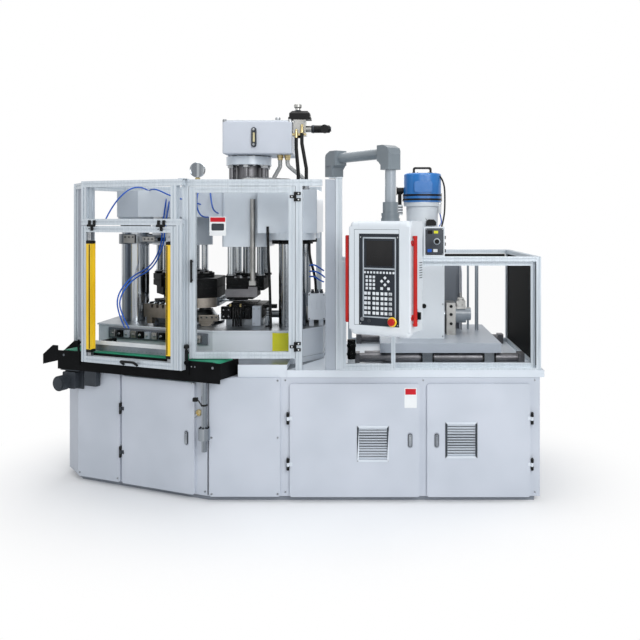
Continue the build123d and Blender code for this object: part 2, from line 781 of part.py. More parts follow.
def light_curtains():
    """Two safety light curtains inside the gate's stiles, each on a bracket at both ends."""
    solids = []
    outer = GATE_INNER + PROFILE
    for u, side in ((GATE_LEFT - PROFILE, -1), (GATE_RIGHT + PROFILE, 1)):
        near, far = sorted((u + side * 1.0, u + side * (1.0 + CURTAIN_WIDTH)))
        body = face_block(near, far, outer - CURTAIN_DEPTH, outer, CURTAIN_BOTTOM, CURTAIN_TOP)
        lens_u = far if side > 0 else near
        groove = face_block(
            lens_u - 2, lens_u + 2, outer - 34, outer - 14, CURTAIN_BOTTOM + 14, CURTAIN_TOP - 14
        )
        solids.append(body - groove)
        for low, high in (
            (GATE_BOTTOM + PROFILE, CURTAIN_BOTTOM),
            (CURTAIN_TOP, GATE_TOP - PROFILE),
        ):
            solids.append(face_block(near + 6, far - 6, outer - 34, outer - 12, low, high))
    return solids


# Conveyor
BELT_INNER = CONVEYOR_OUTER - CONVEYOR_WIDTH
ROLLER_Z = BELT_TOP - BELT_THICKNESS - ROLLER_RADIUS - RUNNING_GAP
DRIVE_U = CONVEYOR_END - ROLLER_INSET
IDLE_U = CONVEYOR_START + ROLLER_INSET
BELT_MARGIN = 8.0
JOURNAL = 8.0


def across_face(u, v0, v1, z, radius):
    """A round bar square to the angled face."""
    return rod(face_point(u, v0, z), face_point(u, v1, z), radius)


def conveyor_frame():
    """Two side plates with their ties and the slider bed under the belt."""
    top = BELT_TOP - 4
    solids = []
    for v0 in (BELT_INNER, CONVEYOR_OUTER - PLATE):
        plate = face_block(CONVEYOR_START, CONVEYOR_END, v0, v0 + PLATE, CONVEYOR_BOTTOM + 26, top)
        if v0 > 0:
            plate += face_block(
                CONVEYOR_START, CONVEYOR_END, v0, v0 + PLATE, CONVEYOR_BOTTOM, CONVEYOR_BOTTOM + 26
            )
        for u in (DRIVE_U, IDLE_U):
            plate -= across_face(u, v0 - 1, v0 + PLATE + 1, ROLLER_Z, JOURNAL + SLIDING_CLEARANCE)
        solids.append(plate)
    low, high = ROLLER_Z + ROLLER_RADIUS - 8, ROLLER_Z + ROLLER_RADIUS
    bed_v0, bed_v1 = BELT_INNER + PLATE, CONVEYOR_OUTER - PLATE
    solids.append(face_block(IDLE_U + 45, DRIVE_U - 45, bed_v0, bed_v1, low, high))
    end_box = face_block(
        CONVEYOR_START - 5, CONVEYOR_START, BELT_INNER, CONVEYOR_OUTER, CONVEYOR_BOTTOM + 26, top
    )
    solids.append(end_box)
    return solids


def conveyor_belt():
    """The endless belt: a thin loop round both rollers."""
    outer_radius = ROLLER_RADIUS + RUNNING_GAP + BELT_THICKNESS
    length = DRIVE_U - IDLE_U
    loop = SlotCenterToCenter(length, 2 * outer_radius)
    loop -= SlotCenterToCenter(length, 2 * (outer_radius - BELT_THICKNESS))
    width = CONVEYOR_WIDTH - 2 * (PLATE + BELT_MARGIN)
    middle = CONVEYOR_OUTER - CONVEYOR_WIDTH / 2
    plane = Plane(
        origin=face_point((DRIVE_U + IDLE_U) / 2, middle - width / 2, ROLLER_Z),
        x_dir=FACE_DIRECTION,
        z_dir=Vector(*face_point(0, 1)) - Vector(*face_point(0, 0)),
    )
    return extrude(plane * loop, width)


def roller(u, stub=0.0):
    """A conveyor roller with its journals; stub is how far the drive end reaches out."""
    margin = PLATE + BELT_MARGIN
    middle = across_face(u, BELT_INNER + margin, CONVEYOR_OUTER - margin, ROLLER_Z, ROLLER_RADIUS)
    return middle + across_face(u, BELT_INNER, CONVEYOR_OUTER + stub, ROLLER_Z, JOURNAL)


def discharge_chute():
    """The folded chute at the left end of the belt: a sloping floor between two cheeks."""
    start, end = CONVEYOR_END, CONVEYOR_END + 132
    outline = [(0, 0), (start, 806), (start, 905), (start + 46, 905), (end, 838), (end, 772)]
    cheek = outline[1:]
    solids = None
    for v in (BELT_INNER + 2, CONVEYOR_OUTER - 2 - SHEET):
        points = [Vector(*face_point(u, v, z)) for u, z in cheek]
        face = make_face(Polyline(*points, close=True))
        outward = Vector(*face_point(0, 1)) - Vector(*face_point(0, 0))
        side = extrude(face, SHEET, dir=outward)
        solids = side if solids is None else solids + side
    lower = [(start, 806), (end, 772), (end, 776), (start, 810)]
    points = [Vector(*face_point(u, BELT_INNER + 2, z)) for u, z in lower]
    outward = Vector(*face_point(0, 1)) - Vector(*face_point(0, 0))
    floor = extrude(make_face(Polyline(*points, close=True)), CONVEYOR_WIDTH - 4, dir=outward)
    return solids + floor


MOTOR_Z = 664.0
MOTOR_RADIUS = 50.0


def conveyor_motor():
    """The drive under the left end: bracket plate, gearbox and a round motor facing out."""
    inner = COVER_DEPTH + 4
    bracket = face_block(DRIVE_U - 130, DRIVE_U + 28, inner, inner + PLATE, 620, CONVEYOR_BOTTOM)
    bracket += face_block(DRIVE_U - 130, DRIVE_U + 28, inner, CONVEYOR_OUTER, 744, CONVEYOR_BOTTOM)
    gearbox_out = inner + PLATE + 42
    gearbox = face_block(DRIVE_U - 100, DRIVE_U + 10, inner + PLATE, gearbox_out, 625, 735)
    gearbox = fillet(gearbox.edges().filter_by(lambda e: e.length < 50), 10)
    body = across_face(DRIVE_U - 8, gearbox_out, gearbox_out + 54, MOTOR_Z, MOTOR_RADIUS)
    cap = across_face(DRIVE_U - 8, gearbox_out + 54, gearbox_out + 62, MOTOR_Z, MOTOR_RADIUS * 0.8)
    return [bracket, gearbox, body + cap]


def conveyor_control():
    """The small speed control box under the conveyor's side plate."""
    box = face_block(827, 925, 20, CONVEYOR_OUTER, 655, CONVEYOR_BOTTOM)
    return fillet(box.edges().filter_by(Axis.Z), 6)


RAIL_U = (190.0, 905.0)


def guide_rail():
    """The white product guide rail near the belt's front edge, its perforated strip and two brackets."""
    v = CONVEYOR_OUTER - 52
    strip = face_block(RAIL_U[0], RAIL_U[1], v, v + 10, 925, 950)
    feet = []
    for u in (RAIL_U[0] + 60, RAIL_U[1] - 60):
        foot = face_block(u - 12, u + 12, BELT_INNER - 5, BELT_INNER, 830, 945)
        foot += face_block(u - 12, u + 12, BELT_INNER, v, 930, 945)
        feet.append(foot)
    backing = face_block(RAIL_U[0], RAIL_U[1], v + 2, v + 6, BELT_TOP + 7, 925)
    for n in range(24):
        u = RAIL_U[0] + 25 + n * 30
        backing -= across_face(u, v, v + 8, BELT_TOP + 20, 3)
    return strip, [backing, *feet]


def guide_brackets():
    """Black upright brackets on the outer side plate, each with a clamp knob and a cross rod."""
    u = STOP_POST_U - 34
    low_top = CENTRE_DOOR_BOTTOM - 4
    plate = face_block(u - 9, u + 9, CONVEYOR_OUTER, CONVEYOR_OUTER + 5, 790, low_top)
    low = plate + across_face(u, CONVEYOR_OUTER + 5, CONVEYOR_OUTER + 24, low_top - 14, 12)
    u = GATE_LEFT + 62
    plate = face_block(u - 9, u + 9, CONVEYOR_OUTER, CONVEYOR_OUTER + 5, 790, 955)
    cross = across_face(u, CONVEYOR_OUTER - 60, CONVEYOR_OUTER + 5, 935, 7)
    knob = across_face(u, CONVEYOR_OUTER + 5, CONVEYOR_OUTER + 24, 935, 12)
    return [low, plate + cross + knob]


SUPPORT_U = -6.0
SUPPORT_V = 48.0


def support_post():
    """The telescopic support pipe of the conveyor, in a clamp collar on the cabinet's corner."""
    x, y, _ = face_point(SUPPORT_U, SUPPORT_V)
    upper = rod((x, y, 470), (x, y, CONVEYOR_BOTTOM), 17)
    collar = pipe((x, y, 397), (x, y, 470), 37, 17)
    collar += block(x - 20, x + 20, y, -FRONT_REACH, 410, 455) - rod((x, y, 400), (x, y, 470), 17)
    lower = rod((x, y, 323), (x, y, 470), 17)
    return upper + lower, collar


# Rotary head
def station_turn(index):
    """The turn that brings the injection station to another station."""
    return Rot(0, 0, 120.0 * index)


def index_head():
    """The three-sided head: a steel core plate under a black two-tier block with its hub and bolts."""
    plate = Pos(0, 0, HEAD_BOTTOM) * extrude(head_outline(HEAD_INRADIUS - CORE_SEAT), HEAD_PLATE)
    hub = Pos(0, 0, HEAD_TOP) * Cylinder(120, 30, align=(Align.CENTER, Align.CENTER, Align.MIN))
    middle = (HEAD_SEAM + HEAD_TOP) / 2
    lower = Pos(0, 0, HEAD_SEAM) * extrude(head_outline(HEAD_INRADIUS), middle - HEAD_SEAM)
    groove = Pos(0, 0, middle) * extrude(head_outline(HEAD_INRADIUS - 5), 4)
    upper = Pos(0, 0, middle + 4) * extrude(head_outline(HEAD_INRADIUS), HEAD_TOP - middle - 4)
    bolts = None
    for n in range(6):
        angle = radians(60 * n)
        x, y = 95 * cos(angle), 95 * sin(angle)
        bolt = rod((x, y, HEAD_TOP + 30), (x, y, HEAD_TOP + 40), 11)
        bolts = bolt if bolts is None else bolts + bolt
    return plate, lower + groove + upper + hub + bolts


def head_outline(inradius):
    """The plan of the head: a triangle with its points rounded off."""
    outline = Circle(HEAD_VERTEX)
    for n in range(3):
        cut = Pos(inradius + HEAD_VERTEX / 2, 0) * Rectangle(HEAD_VERTEX, 2 * HEAD_VERTEX)
        outline -= Rot(0, 0, 120 * n) * cut
    return outline


SHAFT_BOTTOM = 1042.0
HOUSING_RADIUS = 150.0
INDEX_HOUSING_TOP = HEAD_BOTTOM - HEAD_LIFT - 5.0


def index_shaft():
    """The shaft that lifts and turns the head."""
    return rod((0, 0, TABLE_TOP + HEAD_LIFT + 12), (0, 0, HEAD_BOTTOM), SHAFT_RADIUS)


def index_housing():
    """The bearing housing of the index shaft, bolted to the table."""
    base = Pos(0, 0, TABLE_TOP) * Cylinder(190, 16, align=(Align.CENTER, Align.CENTER, Align.MIN))
    tower = Pos(0, 0, TABLE_TOP) * Cone(
        170, HOUSING_RADIUS - 40, INDEX_HOUSING_TOP - TABLE_TOP, align=(Align.CENTER, Align.CENTER, Align.MIN)
    )
    bore = rod((0, 0, TABLE_TOP - 1), (0, 0, INDEX_HOUSING_TOP + 1), SHAFT_RADIUS + SLIDING_CLEARANCE)
    return base + tower - bore


def core_offsets():
    """Places of the core rods across one face of the head."""
    first = -CORE_PITCH * (CORE_COUNT - 1) / 2
    return [first + CORE_PITCH * n for n in range(CORE_COUNT)]


def core_bar():
    """The bar that clamps one row of core rods to the head."""
    inner = HEAD_INRADIUS - CORE_SEAT
    low, high = HEAD_BOTTOM + 4, HEAD_SEAM - 1
    plate = block(inner, inner + CORE_BAR, -130, 130, low, high)
    for y in core_offsets():
        plate -= rod((inner - 1, y, CORE_HEIGHT), (inner + CORE_BAR + 1, y, CORE_HEIGHT), CORE_RADIUS)
    return plate


def core_rods():
    """One row of core rods with rounded tips, each behind its collar."""
    inner = HEAD_INRADIUS - CORE_SEAT
    seat = inner + CORE_BAR
    tip = seat + CORE_LENGTH
    rods = []
    for y in core_offsets():
        shank = rod((inner, y, CORE_HEIGHT), (tip, y, CORE_HEIGHT), CORE_RADIUS)
        shank = fillet(shank.edges().sort_by(Axis.X)[-1], CORE_RADIUS * 0.8)
        rods += [shank, pipe((seat, y, CORE_HEIGHT), (seat + 14, y, CORE_HEIGHT), CORE_RADIUS + 6, CORE_RADIUS)]
    return rods



MOULD_HALF = STATION_HALF - 14.0
NOZZLE_BLOCK = 62.0
CAVITY_FLOOR = CAVITY_RADIUS + 2.0


def mould_half(back, parting):
    """One mould half: a backing block, ribs between the round channels, and a solid outer end.

    The channels open at the parting plane; back is the plane of the side away from it.
    """
    depth = HEAD_INRADIUS + CORE_BAR + CORE_LENGTH + 6
    out = STATION_OUT - 10 - NOZZLE_BLOCK
    side = 1 if parting > back else -1
    floor = parting - side * CAVITY_FLOOR
    low, high = sorted((back, floor))
    solids = [block(STATION_IN, out, -MOULD_HALF, MOULD_HALF, low, high)]
    low, high = sorted((floor, parting))
    solids.append(block(depth, out, -MOULD_HALF, MOULD_HALF, low, high))
    edges = [-MOULD_HALF, *core_offsets(), MOULD_HALF]
    for start, end in zip(edges, edges[1:]):
        rib = block(STATION_IN, depth, start, end, low, high)
        for y in core_offsets():
            rib -= rod((STATION_IN - 1, y, parting), (depth + 1, y, parting), CAVITY_RADIUS)
        solids.append(rib)
    return solids


def lower_mould():
    """The lower mould half on its die plate, with the steel nozzle block at the outer end."""
    out = STATION_OUT - 10
    plate = block(STATION_IN, STATION_OUT, -STATION_HALF, STATION_HALF, TABLE_TOP, TABLE_TOP + DIE_PLATE)
    nozzle_block = block(out - NOZZLE_BLOCK, out, -MOULD_HALF, MOULD_HALF, TABLE_TOP + DIE_PLATE, PARTING - 5)
    return [plate, nozzle_block, *mould_half(TABLE_TOP + DIE_PLATE, PARTING)]


def upper_mould():
    """The upper mould half, hung under the moving platen."""
    return mould_half(PLATEN_BOTTOM, PARTING + MOULD_OPEN)


GUIDE_ENGAGEMENT = 200.0


def guide_places():
    """Centres of the four guide rods of a press."""
    x = HOUSING_MIDDLE
    return [(x + sx * GUIDE_X, sy * GUIDE_Y) for sx in (-1, 1) for sy in (-1, 1)]


HOUSING_MIDDLE = (STATION_IN + STATION_OUT) / 2


def upper_platen():
    """The moving platen: two tiers with a groove between them and chamfered outer corners."""
    middle = (PLATEN_BOTTOM + PLATEN_TOP) / 2
    tiers = None
    for low, high, inset in (
        (PLATEN_BOTTOM, middle - 2, 0),
        (middle - 2, middle + 2, 4),
        (middle + 2, PLATEN_TOP, 0),
    ):
        half = STATION_HALF - inset
        body = block(STATION_IN + inset, STATION_OUT - inset, -half, half, low, high)
        body = chamfer(body.edges().filter_by(Axis.Z).group_by(Axis.X)[-1], 30)
        tiers = body if tiers is None else tiers + body
    return tiers


def platen_rods():
    """Four guide rods and the ram of the press, fixed in the moving platen."""
    rods = [
        rod((x, y, PLATEN_TOP), (x, y, HOUSING_BOTTOM + GUIDE_ENGAGEMENT), GUIDE_RADIUS)
        for x, y in guide_places()
    ]
    ram = rod(
        (HOUSING_MIDDLE, 0, PLATEN_TOP), (HOUSING_MIDDLE, 0, HOUSING_BOTTOM + GUIDE_ENGAGEMENT), 45
    )
    return rods + [ram]


def clamp_housing(top, bottom=HOUSING_BOTTOM):
    """The clamp cylinder's block, with bores for the guide rods and the ram."""
    x0 = HOUSING_MIDDLE - HOUSING_LENGTH / 2
    body = block(x0, x0 + HOUSING_LENGTH, -HOUSING_HALF, HOUSING_HALF, bottom, top)
    body = fillet(body.edges().filter_by(Axis.Z), 28)
    bore_top = HOUSING_BOTTOM + GUIDE_ENGAGEMENT + 10
    for x, y in guide_places():
        body -= rod((x, y, bottom - 1), (x, y, bore_top), GUIDE_RADIUS + SLIDING_CLEARANCE)
    ram_bore = 45 + SLIDING_CLEARANCE
    return body - rod((HOUSING_MIDDLE, 0, bottom - 1), (HOUSING_MIDDLE, 0, bore_top), ram_bore)


def face_bar():
    """The bright clamp bar along the front of the injection platen."""
    low, high = PLATEN_BOTTOM - 43, PLATEN_BOTTOM + 11
    y = -STATION_HALF - BAR_DEPTH
    x0, x1 = STATION_IN - 4, STATION_OUT - 40
    bright = block(x0, x1, y, -STATION_HALF, low, high)
    bright += block(x1 - 60, x1, y, -STATION_HALF, low, high + 16)
    bright = chamfer(bright.edges().filter_by(Axis.Y).group_by(Axis.X)[0], 6)
    x = x0 + 60
    return bright - rod((x, y - 1, low + 34), (x, y + 8, low + 34), 7)


BAR_DEPTH = 14.0


def stroke_rod():
    """The polished stroke rod in front of the clamp housing, on a lug of the platen."""
    x, y = STATION_OUT - 68, -STATION_HALF - BAR_DEPTH - 8
    low = PLATEN_TOP - 46
    lug = block(x - 22, x + 22, y - 20, -STATION_HALF, low, low + 30)
    return lug + rod((x, y, low + 30), (x, y, HOUSING_TOP - 60), 17)


# Columns and castings
def column(place, top, flange_radius=FLANGE_RADIUS):
    """A main column with its flange and ring nut under the casting."""
    x, y = place
    stem = rod((x, y, TABLE_TOP), (x, y, top), COLUMN_RADIUS)
    nut_low = top - FLANGE_HEIGHT - NUT_HEIGHT
    nut_radius = flange_radius - FLANGE_RADIUS + NUT_RADIUS
    flange = pipe((x, y, top - FLANGE_HEIGHT), (x, y, top), flange_radius, COLUMN_RADIUS)
    nut = pipe((x, y, nut_low), (x, y, top - FLANGE_HEIGHT), nut_radius, COLUMN_RADIUS)
    for n in range(6):
        angle = radians(60 * n)
        px, py = x + nut_radius * cos(angle), y + nut_radius * sin(angle)
        nut -= rod((px, py, nut_low - 1), (px, py, top - FLANGE_HEIGHT + 1), 9)
    return [stem, flange], nut


def column_clamp():
    """The split clamp round the left column, with its ear, bolts and switch block."""
    x, y = COLUMN_LEFT
    low, high = LEFT_CASTING_BOTTOM - 190, LEFT_CASTING_BOTTOM - 120
    ring = pipe((x, y, low), (x, y, high), COLUMN_RADIUS + 22, COLUMN_RADIUS)
    ring += block(x + 100, x + 190, y - 60, y - 10, low + 6, high - 6)
    ring += block(x + 60, x + 180, y - 120, y - 60, low + 16, high - 16)
    for dx in (96, 150):
        ring += rod((x + dx, y - 120, low + 36), (x + dx, y - 134, low + 36), 9)
    return ring - rod((x, y, low - 1), (x, y, high + 1), COLUMN_RADIUS)


def right_casting():
    """The crosshead casting over the two right columns."""
    x0 = HOUSING_MIDDLE + HOUSING_LENGTH / 2
    body = block(x0, CASTING_RIGHT, -CASTING_HALF, CASTING_HALF, CASTING_BOTTOM, HOUSING_TOP)
    for side in (-1, 1):
        low, high = sorted((side * HOUSING_HALF, side * CASTING_HALF))
        body += block(x0 - CASTING_CHEEK, x0, low, high, CASTING_BOTTOM, HOUSING_TOP)
    outer = body.edges().filter_by(Axis.Z).filter_by(lambda e: abs(e.center().Y) > CASTING_HALF - 1)
    return fillet(outer, 12)


CASTING_CHEEK = 54.0


LEFT_CASTING_BOTTOM = 1765.0


def left_casting():
    """The casting over the left column and the blow press."""
    x1 = HOUSING_MIDDLE - HOUSING_LENGTH / 2
    points = [
        (x1, -HOUSING_HALF + 28),
        (x1, 420),
        (-440, 420),
        (-560, 220),
        (-560, -20),
        (-380, -120),
    ]
    body = prism(points, LEFT_CASTING_BOTTOM, HOUSING_TOP)
    return fillet(body.edges().filter_by(Axis.Z).group_by(Axis.X)[0], 20)


def cylinder_neck():
    """The prefill neck over the injection clamp: posts round a cylinder, and the tank flange."""
    x = HOUSING_MIDDLE
    core = rod((x, 0, HOUSING_TOP), (x, 0, NECK_TOP), 92)
    flange = rod((x, 0, NECK_TOP), (x, 0, TANK_BOTTOM - 7), TANK_FLANGE_RADIUS)
    cap = rod((x, 0, TANK_BOTTOM - 7), (x, 0, TANK_BOTTOM), 120)
    posts = []
    for n in range(6):
        angle = radians(30 + 60 * n)
        px, py = x + 128 * cos(angle), 128 * sin(angle)
        posts.append(rod((px, py, HOUSING_TOP), (px, py, NECK_TOP), 18))
    return core, flange + cap, posts


def oil_tank():
    """The prefill oil tank, a welded sheet box."""
    tank = block(TANK_LEFT, TANK_RIGHT, TANK_FRONT, TANK_BACK, TANK_BOTTOM, TANK_TOP)
    return fillet(tank.edges(), 10)


GAUGE_X = 436.0


def sight_gauge():
    """The oil level gauge on the tank's front: a slotted bezel with a bolt at each end."""
    z = (TANK_BOTTOM + TANK_TOP) / 2
    plane = Plane(origin=(GAUGE_X, TANK_FRONT, z), x_dir=(0, 0, 1), z_dir=(0, -1, 0))
    bezel = extrude(plane * SlotOverall(134, 34), 14)
    window = Plane(origin=(GAUGE_X, TANK_FRONT - 8, z), x_dir=(0, 0, 1), z_dir=(0, -1, 0))
    bezel -= extrude(window * SlotOverall(70, 16), 8)
    for dz in (-50, 50):
        bezel += rod((GAUGE_X, TANK_FRONT - 14, z + dz), (GAUGE_X, TANK_FRONT - 22, z + dz), 10)
    return bezel


VALVE_X = 740.0
VALVE_Y = -170.0


def valve_group():
    """Proportional valve by the tank: block, black cap with its bolt, and the side solenoid."""
    x, y = VALVE_X, VALVE_Y
    base = block(TANK_RIGHT, x + 45, y - 40, y + 40, 2316, 2330)
    body = block(x - 42, x + 42, y - 38, y + 38, 2330, 2424)
    cap = block(x - 70, x + 70, y - 43, y + 43, 2440, 2484)
    cap = chamfer(cap.faces().sort_by(Axis.Z)[-1].edges(), 18)
    cap += block(x - 76, x + 76, y - 46, y + 46, 2424, 2440)
    knob = rod((x - 15, y, 2504), (x - 15, y, 2532), 26)
    knob = fillet(knob.edges(), 8)
    bolt = rod((x - 15, y, 2484), (x - 15, y, 2510), 17) + knob
    ring = rod((x + 42, y, 2363), (x + 78, y, 2363), 22)
    solenoid = rod((x + 78, y, 2363), (x + 205, y, 2363), 26)
    solenoid = fillet(solenoid.edges().sort_by(Axis.X)[-1], 10)
    solenoid += rod((x + 168, y - 34, 2363), (x + 168, y + 10, 2363), 28)
    elbows = [hose_elbow(hose_x, top) for hose_x, top, _ in BLACK_HOSES]
    return base + body, cap, bolt, ring, solenoid, elbows


BLACK_HOSES = ((VALVE_X - 20, 2352.0, 14.0), (VALVE_X + 18, 2384.0, 30.0))
HOSE_Y = VALVE_Y - 38.0 - 24.0
HOSE_RADIUS = 12.0


def hose_elbow(x, top):
    """A plated elbow out of the valve block that turns down to a hose."""
    path = FilletPolyline((x, VALVE_Y - 38, top), (x, HOSE_Y, top), (x, HOSE_Y, top - 54), radius=16)
    bend = sweep(Plane(origin=path @ 0, z_dir=path % 0) * Circle(9), path)
    return bend + rod((x, HOSE_Y, top - 54), (x, HOSE_Y, top - 36), HOSE_RADIUS)


# Strip station
STRIP_IN = 300.0
STRIP_DEPTH = 26.0
STRIP_TOP = PARTING + 13.0
STRIP_BOTTOM = PARTING - 75.0
STRIP_ROD_Z = PARTING - 95.0
STRIP_HALF = 180.0
STRIP_ROD_Y = 125.0


def stripper_bar():
    """The stripper bar with a tooth each side of every core rod, on two sliding rods."""
    outer = STRIP_IN + STRIP_DEPTH
    notch_floor = PARTING - NOTCH_HALF
    bar_body = block(STRIP_IN, outer, -STRIP_HALF, STRIP_HALF, STRIP_BOTTOM, notch_floor)
    solids = [bar_body]
    edges = [-STRIP_HALF - NOTCH_HALF, *core_offsets(), STRIP_HALF + NOTCH_HALF]
    for start, end in zip(edges, edges[1:]):
        solids.append(block(STRIP_IN, outer, start + NOTCH_HALF, end - NOTCH_HALF, notch_floor, STRIP_TOP))
    for y in (-STRIP_ROD_Y, STRIP_ROD_Y):
        guide = rod((STRIP_IN - 190, y, STRIP_ROD_Z), (outer, y, STRIP_ROD_Z), 12)
        solids += [guide, block(STRIP_IN, outer, y - 24, y + 24, STRIP_ROD_Z - 22, STRIP_BOTTOM) - guide]
    return solids


NOTCH_HALF = 10.0


def stripper_stand():
    """Guide blocks of the stripper rods, on the table."""
    stands = []
    for y in (-STRIP_ROD_Y, STRIP_ROD_Y):
        stand = block(STRIP_IN - 100, STRIP_IN - 30, y - 24, y + 24, TABLE_TOP, STRIP_ROD_Z + 24)
        stands.append(stand - rod((0, y, STRIP_ROD_Z), (STRIP_IN, y, STRIP_ROD_Z), 12 + SLIDING_CLEARANCE))
    return stands


# Injection side
def injection_carriage():
    """The carriage slab with its bearing blocks round the two round rails."""
    slab = block(SLAB_LEFT, SLAB_RIGHT, -SLAB_HALF, SLAB_HALF, SLAB_BOTTOM, SLAB_TOP)
    solids = [slab]
    for x in BEARING_STARTS:
        for y in (-RAIL_Y, RAIL_Y):
            end = x + BEARING_LENGTH
            bearing = block(x + 10, end - 10, y - 32, y + 32, WORKTOP_TOP + 2, SLAB_BOTTOM)
            for a in (x, end - 10):
                bearing += block(a, a + 10, y - 38, y + 38, WORKTOP_TOP + 2, SLAB_BOTTOM)
            bearing -= rod((x - 1, y, RAIL_HEIGHT), (end + 1, y, RAIL_HEIGHT), RAIL_RADIUS + SLIDING_CLEARANCE)
            solids.append(bearing)
    return solids


def back_sheets():
    """The dark sheet and the pale chamfered sheet behind the screw motor, on the slab."""
    left, top = COVER_RIGHT + 4, COVER_TOP - 40
    dark = block(left, left + 150, 226, 229, SLAB_TOP, top)
    x = left + 156
    points = [(150, SLAB_TOP), (300, SLAB_TOP), (300, top), (190, top), (150, top - 50)]

    plane = Plane(origin=(x, 0, 0), x_dir=(0, 1, 0), z_dir=(1, 0, 0))
    pale = extrude(plane * make_face(Polyline(*points, close=True)), 3)
    return dark, pale


def rails():
    """The two round rails of the carriage, held at both ends."""
    solids = []
    for y in (-RAIL_Y, RAIL_Y):
        solids.append(rod((RAIL_LEFT, y, RAIL_HEIGHT), (RAIL_RIGHT, y, RAIL_HEIGHT), RAIL_RADIUS))
        start, end = SLAB_LEFT + 40, BEARING_STARTS[0] - 14
        solids.append(pipe((start, y, RAIL_HEIGHT), (end, y, RAIL_HEIGHT), RAIL_RADIUS + 5, RAIL_RADIUS))
    return solids


def rail_supports():
    """End blocks that hold the rails on the worktop."""
    solids = []
    for x in (RAIL_LEFT, RAIL_RIGHT - 40):
        for y in (-RAIL_Y, RAIL_Y):
            support = block(x, x + 40, y - 42, y + 42, WORKTOP_TOP, RAIL_HEIGHT + 34)
            solids.append(support - rod((x - 1, y, RAIL_HEIGHT), (x + 41, y, RAIL_HEIGHT), RAIL_RADIUS))
    return solids


def barrel():
    """The heated barrel with its nozzle, hollow for the screw."""
    z = INJECTION_AXIS
    tube = rod((BARREL_START, 0, z), (BARREL_END, 0, z), BARREL_RADIUS)
    nozzle = rod((STATION_OUT + 6, 0, z), (BARREL_START, 0, z), 26)
    shoulder = rod((BARREL_START - 60, 0, z), (BARREL_START, 0, z), 40)
    bore = rod((BARREL_START - 20, 0, z), (BARREL_END + 1, 0, z), SCREW_RADIUS + 0.5)
    melt = rod((STATION_OUT, 0, z), (BARREL_START, 0, z), 4)
    return tube + nozzle + shoulder - bore - melt


def heater_bands():
    """Ceramic heater bands round the barrel."""
    bands = []
    z = INJECTION_AXIS
    for n in range(5):
        x = BARREL_START + 30 + 145 * n
        bands.append(pipe((x, 0, z), (x + 115, 0, z), BARREL_RADIUS + 4.5, BARREL_RADIUS))
    return bands


def screw():
    """The injection screw's shaft, from the barrel to the hydraulic motor."""
    z = INJECTION_AXIS
    return rod((BARREL_START, 0, z), (COVER_RIGHT + 62, 0, z), SCREW_RADIUS)


def barrel_cover():
    """The sheet cover over the feed end, open below, with round-topped throats for the barrel and screw."""
    z = INJECTION_AXIS
    body = block(COVER_LEFT, COVER_RIGHT, -COVER_HALF, COVER_HALF, SLAB_TOP, COVER_TOP)
    body -= block(
        COVER_LEFT + SHEET, COVER_RIGHT - SHEET, -COVER_HALF + SHEET, COVER_HALF - SHEET, SLAB_TOP - 1, COVER_TOP - SHEET
    )
    body -= rod((COVER_LEFT - 1, 0, z), (COVER_RIGHT - 9, 0, z), BARREL_RADIUS + 8)
    body -= rod((COVER_RIGHT - 10, 0, z), (COVER_RIGHT + 1, 0, z), SCREW_RADIUS + 6)
    return body - rod((HOPPER_X, 0, COVER_TOP - 10), (HOPPER_X, 0, COVER_TOP + 1), 40)


def barrel_stand():
    """The block inside the cover that holds the barrel's feed end on the carriage."""
    z = INJECTION_AXIS
    stand = block(COVER_LEFT + 20, COVER_LEFT + 82, -90, 90, SLAB_TOP, z + 75)
    return stand - rod((COVER_LEFT, 0, z), (COVER_LEFT + 90, 0, z), BARREL_RADIUS)


def screw_motor():
    """The hydraulic motor of the screw on its bearing block."""
    z = INJECTION_AXIS
    x = COVER_RIGHT + 30
    bearing = block(x, x + 62, -85, 85, SLAB_TOP, z + 85)
    bearing -= rod((x - 1, 0, z), (x + 33, 0, z), SCREW_RADIUS + SLIDING_CLEARANCE)
    motor = rod((x + 62, 0, z), (x + 140, 0, z), 62) + rod((x + 140, 0, z), (x + 175, 0, z), 45)
    stack = block(x + 72, x + 134, -58, 4, z + 40, z + 96) + block(x + 82, x + 122, -48, -6, z + 96, z + 118)
    for dx in (84, 120):
        stack += rod((x + dx, -50, z + 96), (x + dx, -50, z + 110), 6)
        stack += rod((x + dx, -58, z + 68), (x + dx, -70, z + 68), 8)
    stack += rod((x + 102, -28, z + 118), (x + 102, -28, z + 150), 9)
    return bearing, motor + stack


def hopper():
    """The hopper: a feed throat into the barrel, a cone and a straight rimmed body."""
    shell = Pos(HOPPER_X, 0, 0) * revolve(
        Plane.XZ * make_face(
            Polyline(
                (0, INJECTION_AXIS + 130), (32, INJECTION_AXIS + 130), (32, 1500), (106, 1630),
                (113, HOPPER_TOP - 28), (128, HOPPER_TOP - 28), (131, HOPPER_TOP), (0, HOPPER_TOP), close=True,
            )
        ),
        Axis.Z,
    )
    seat = block(HOPPER_X - 60, HOPPER_X + 60, -60, 60, COVER_TOP, COVER_TOP + 14)
    return shell + seat


HOPPER_TOP = 1868.0
LOADER_TOP = 2069.0
LOADER_RADIUS = 131.0


def loader_head():
    """The vacuum loader on the hopper: a nearly round drum with two rubber bands."""
    side = 2 * LOADER_RADIUS
    drum = block(
        HOPPER_X - LOADER_RADIUS, HOPPER_X + LOADER_RADIUS, -LOADER_RADIUS, LOADER_RADIUS, HOPPER_TOP, LOADER_TOP
    )
    drum = fillet(drum.edges().filter_by(Axis.Z), side * 0.42)
    drum = fillet(drum.faces().sort_by(Axis.Z)[-1].edges(), 14)
    for z in (HOPPER_TOP + 12, HOPPER_TOP + 42):
        band = block(HOPPER_X - 134, HOPPER_X + 134, -134, 134, z, z + 13)
        drum += fillet(band.edges().filter_by(Axis.Z), side * 0.43)
    return drum


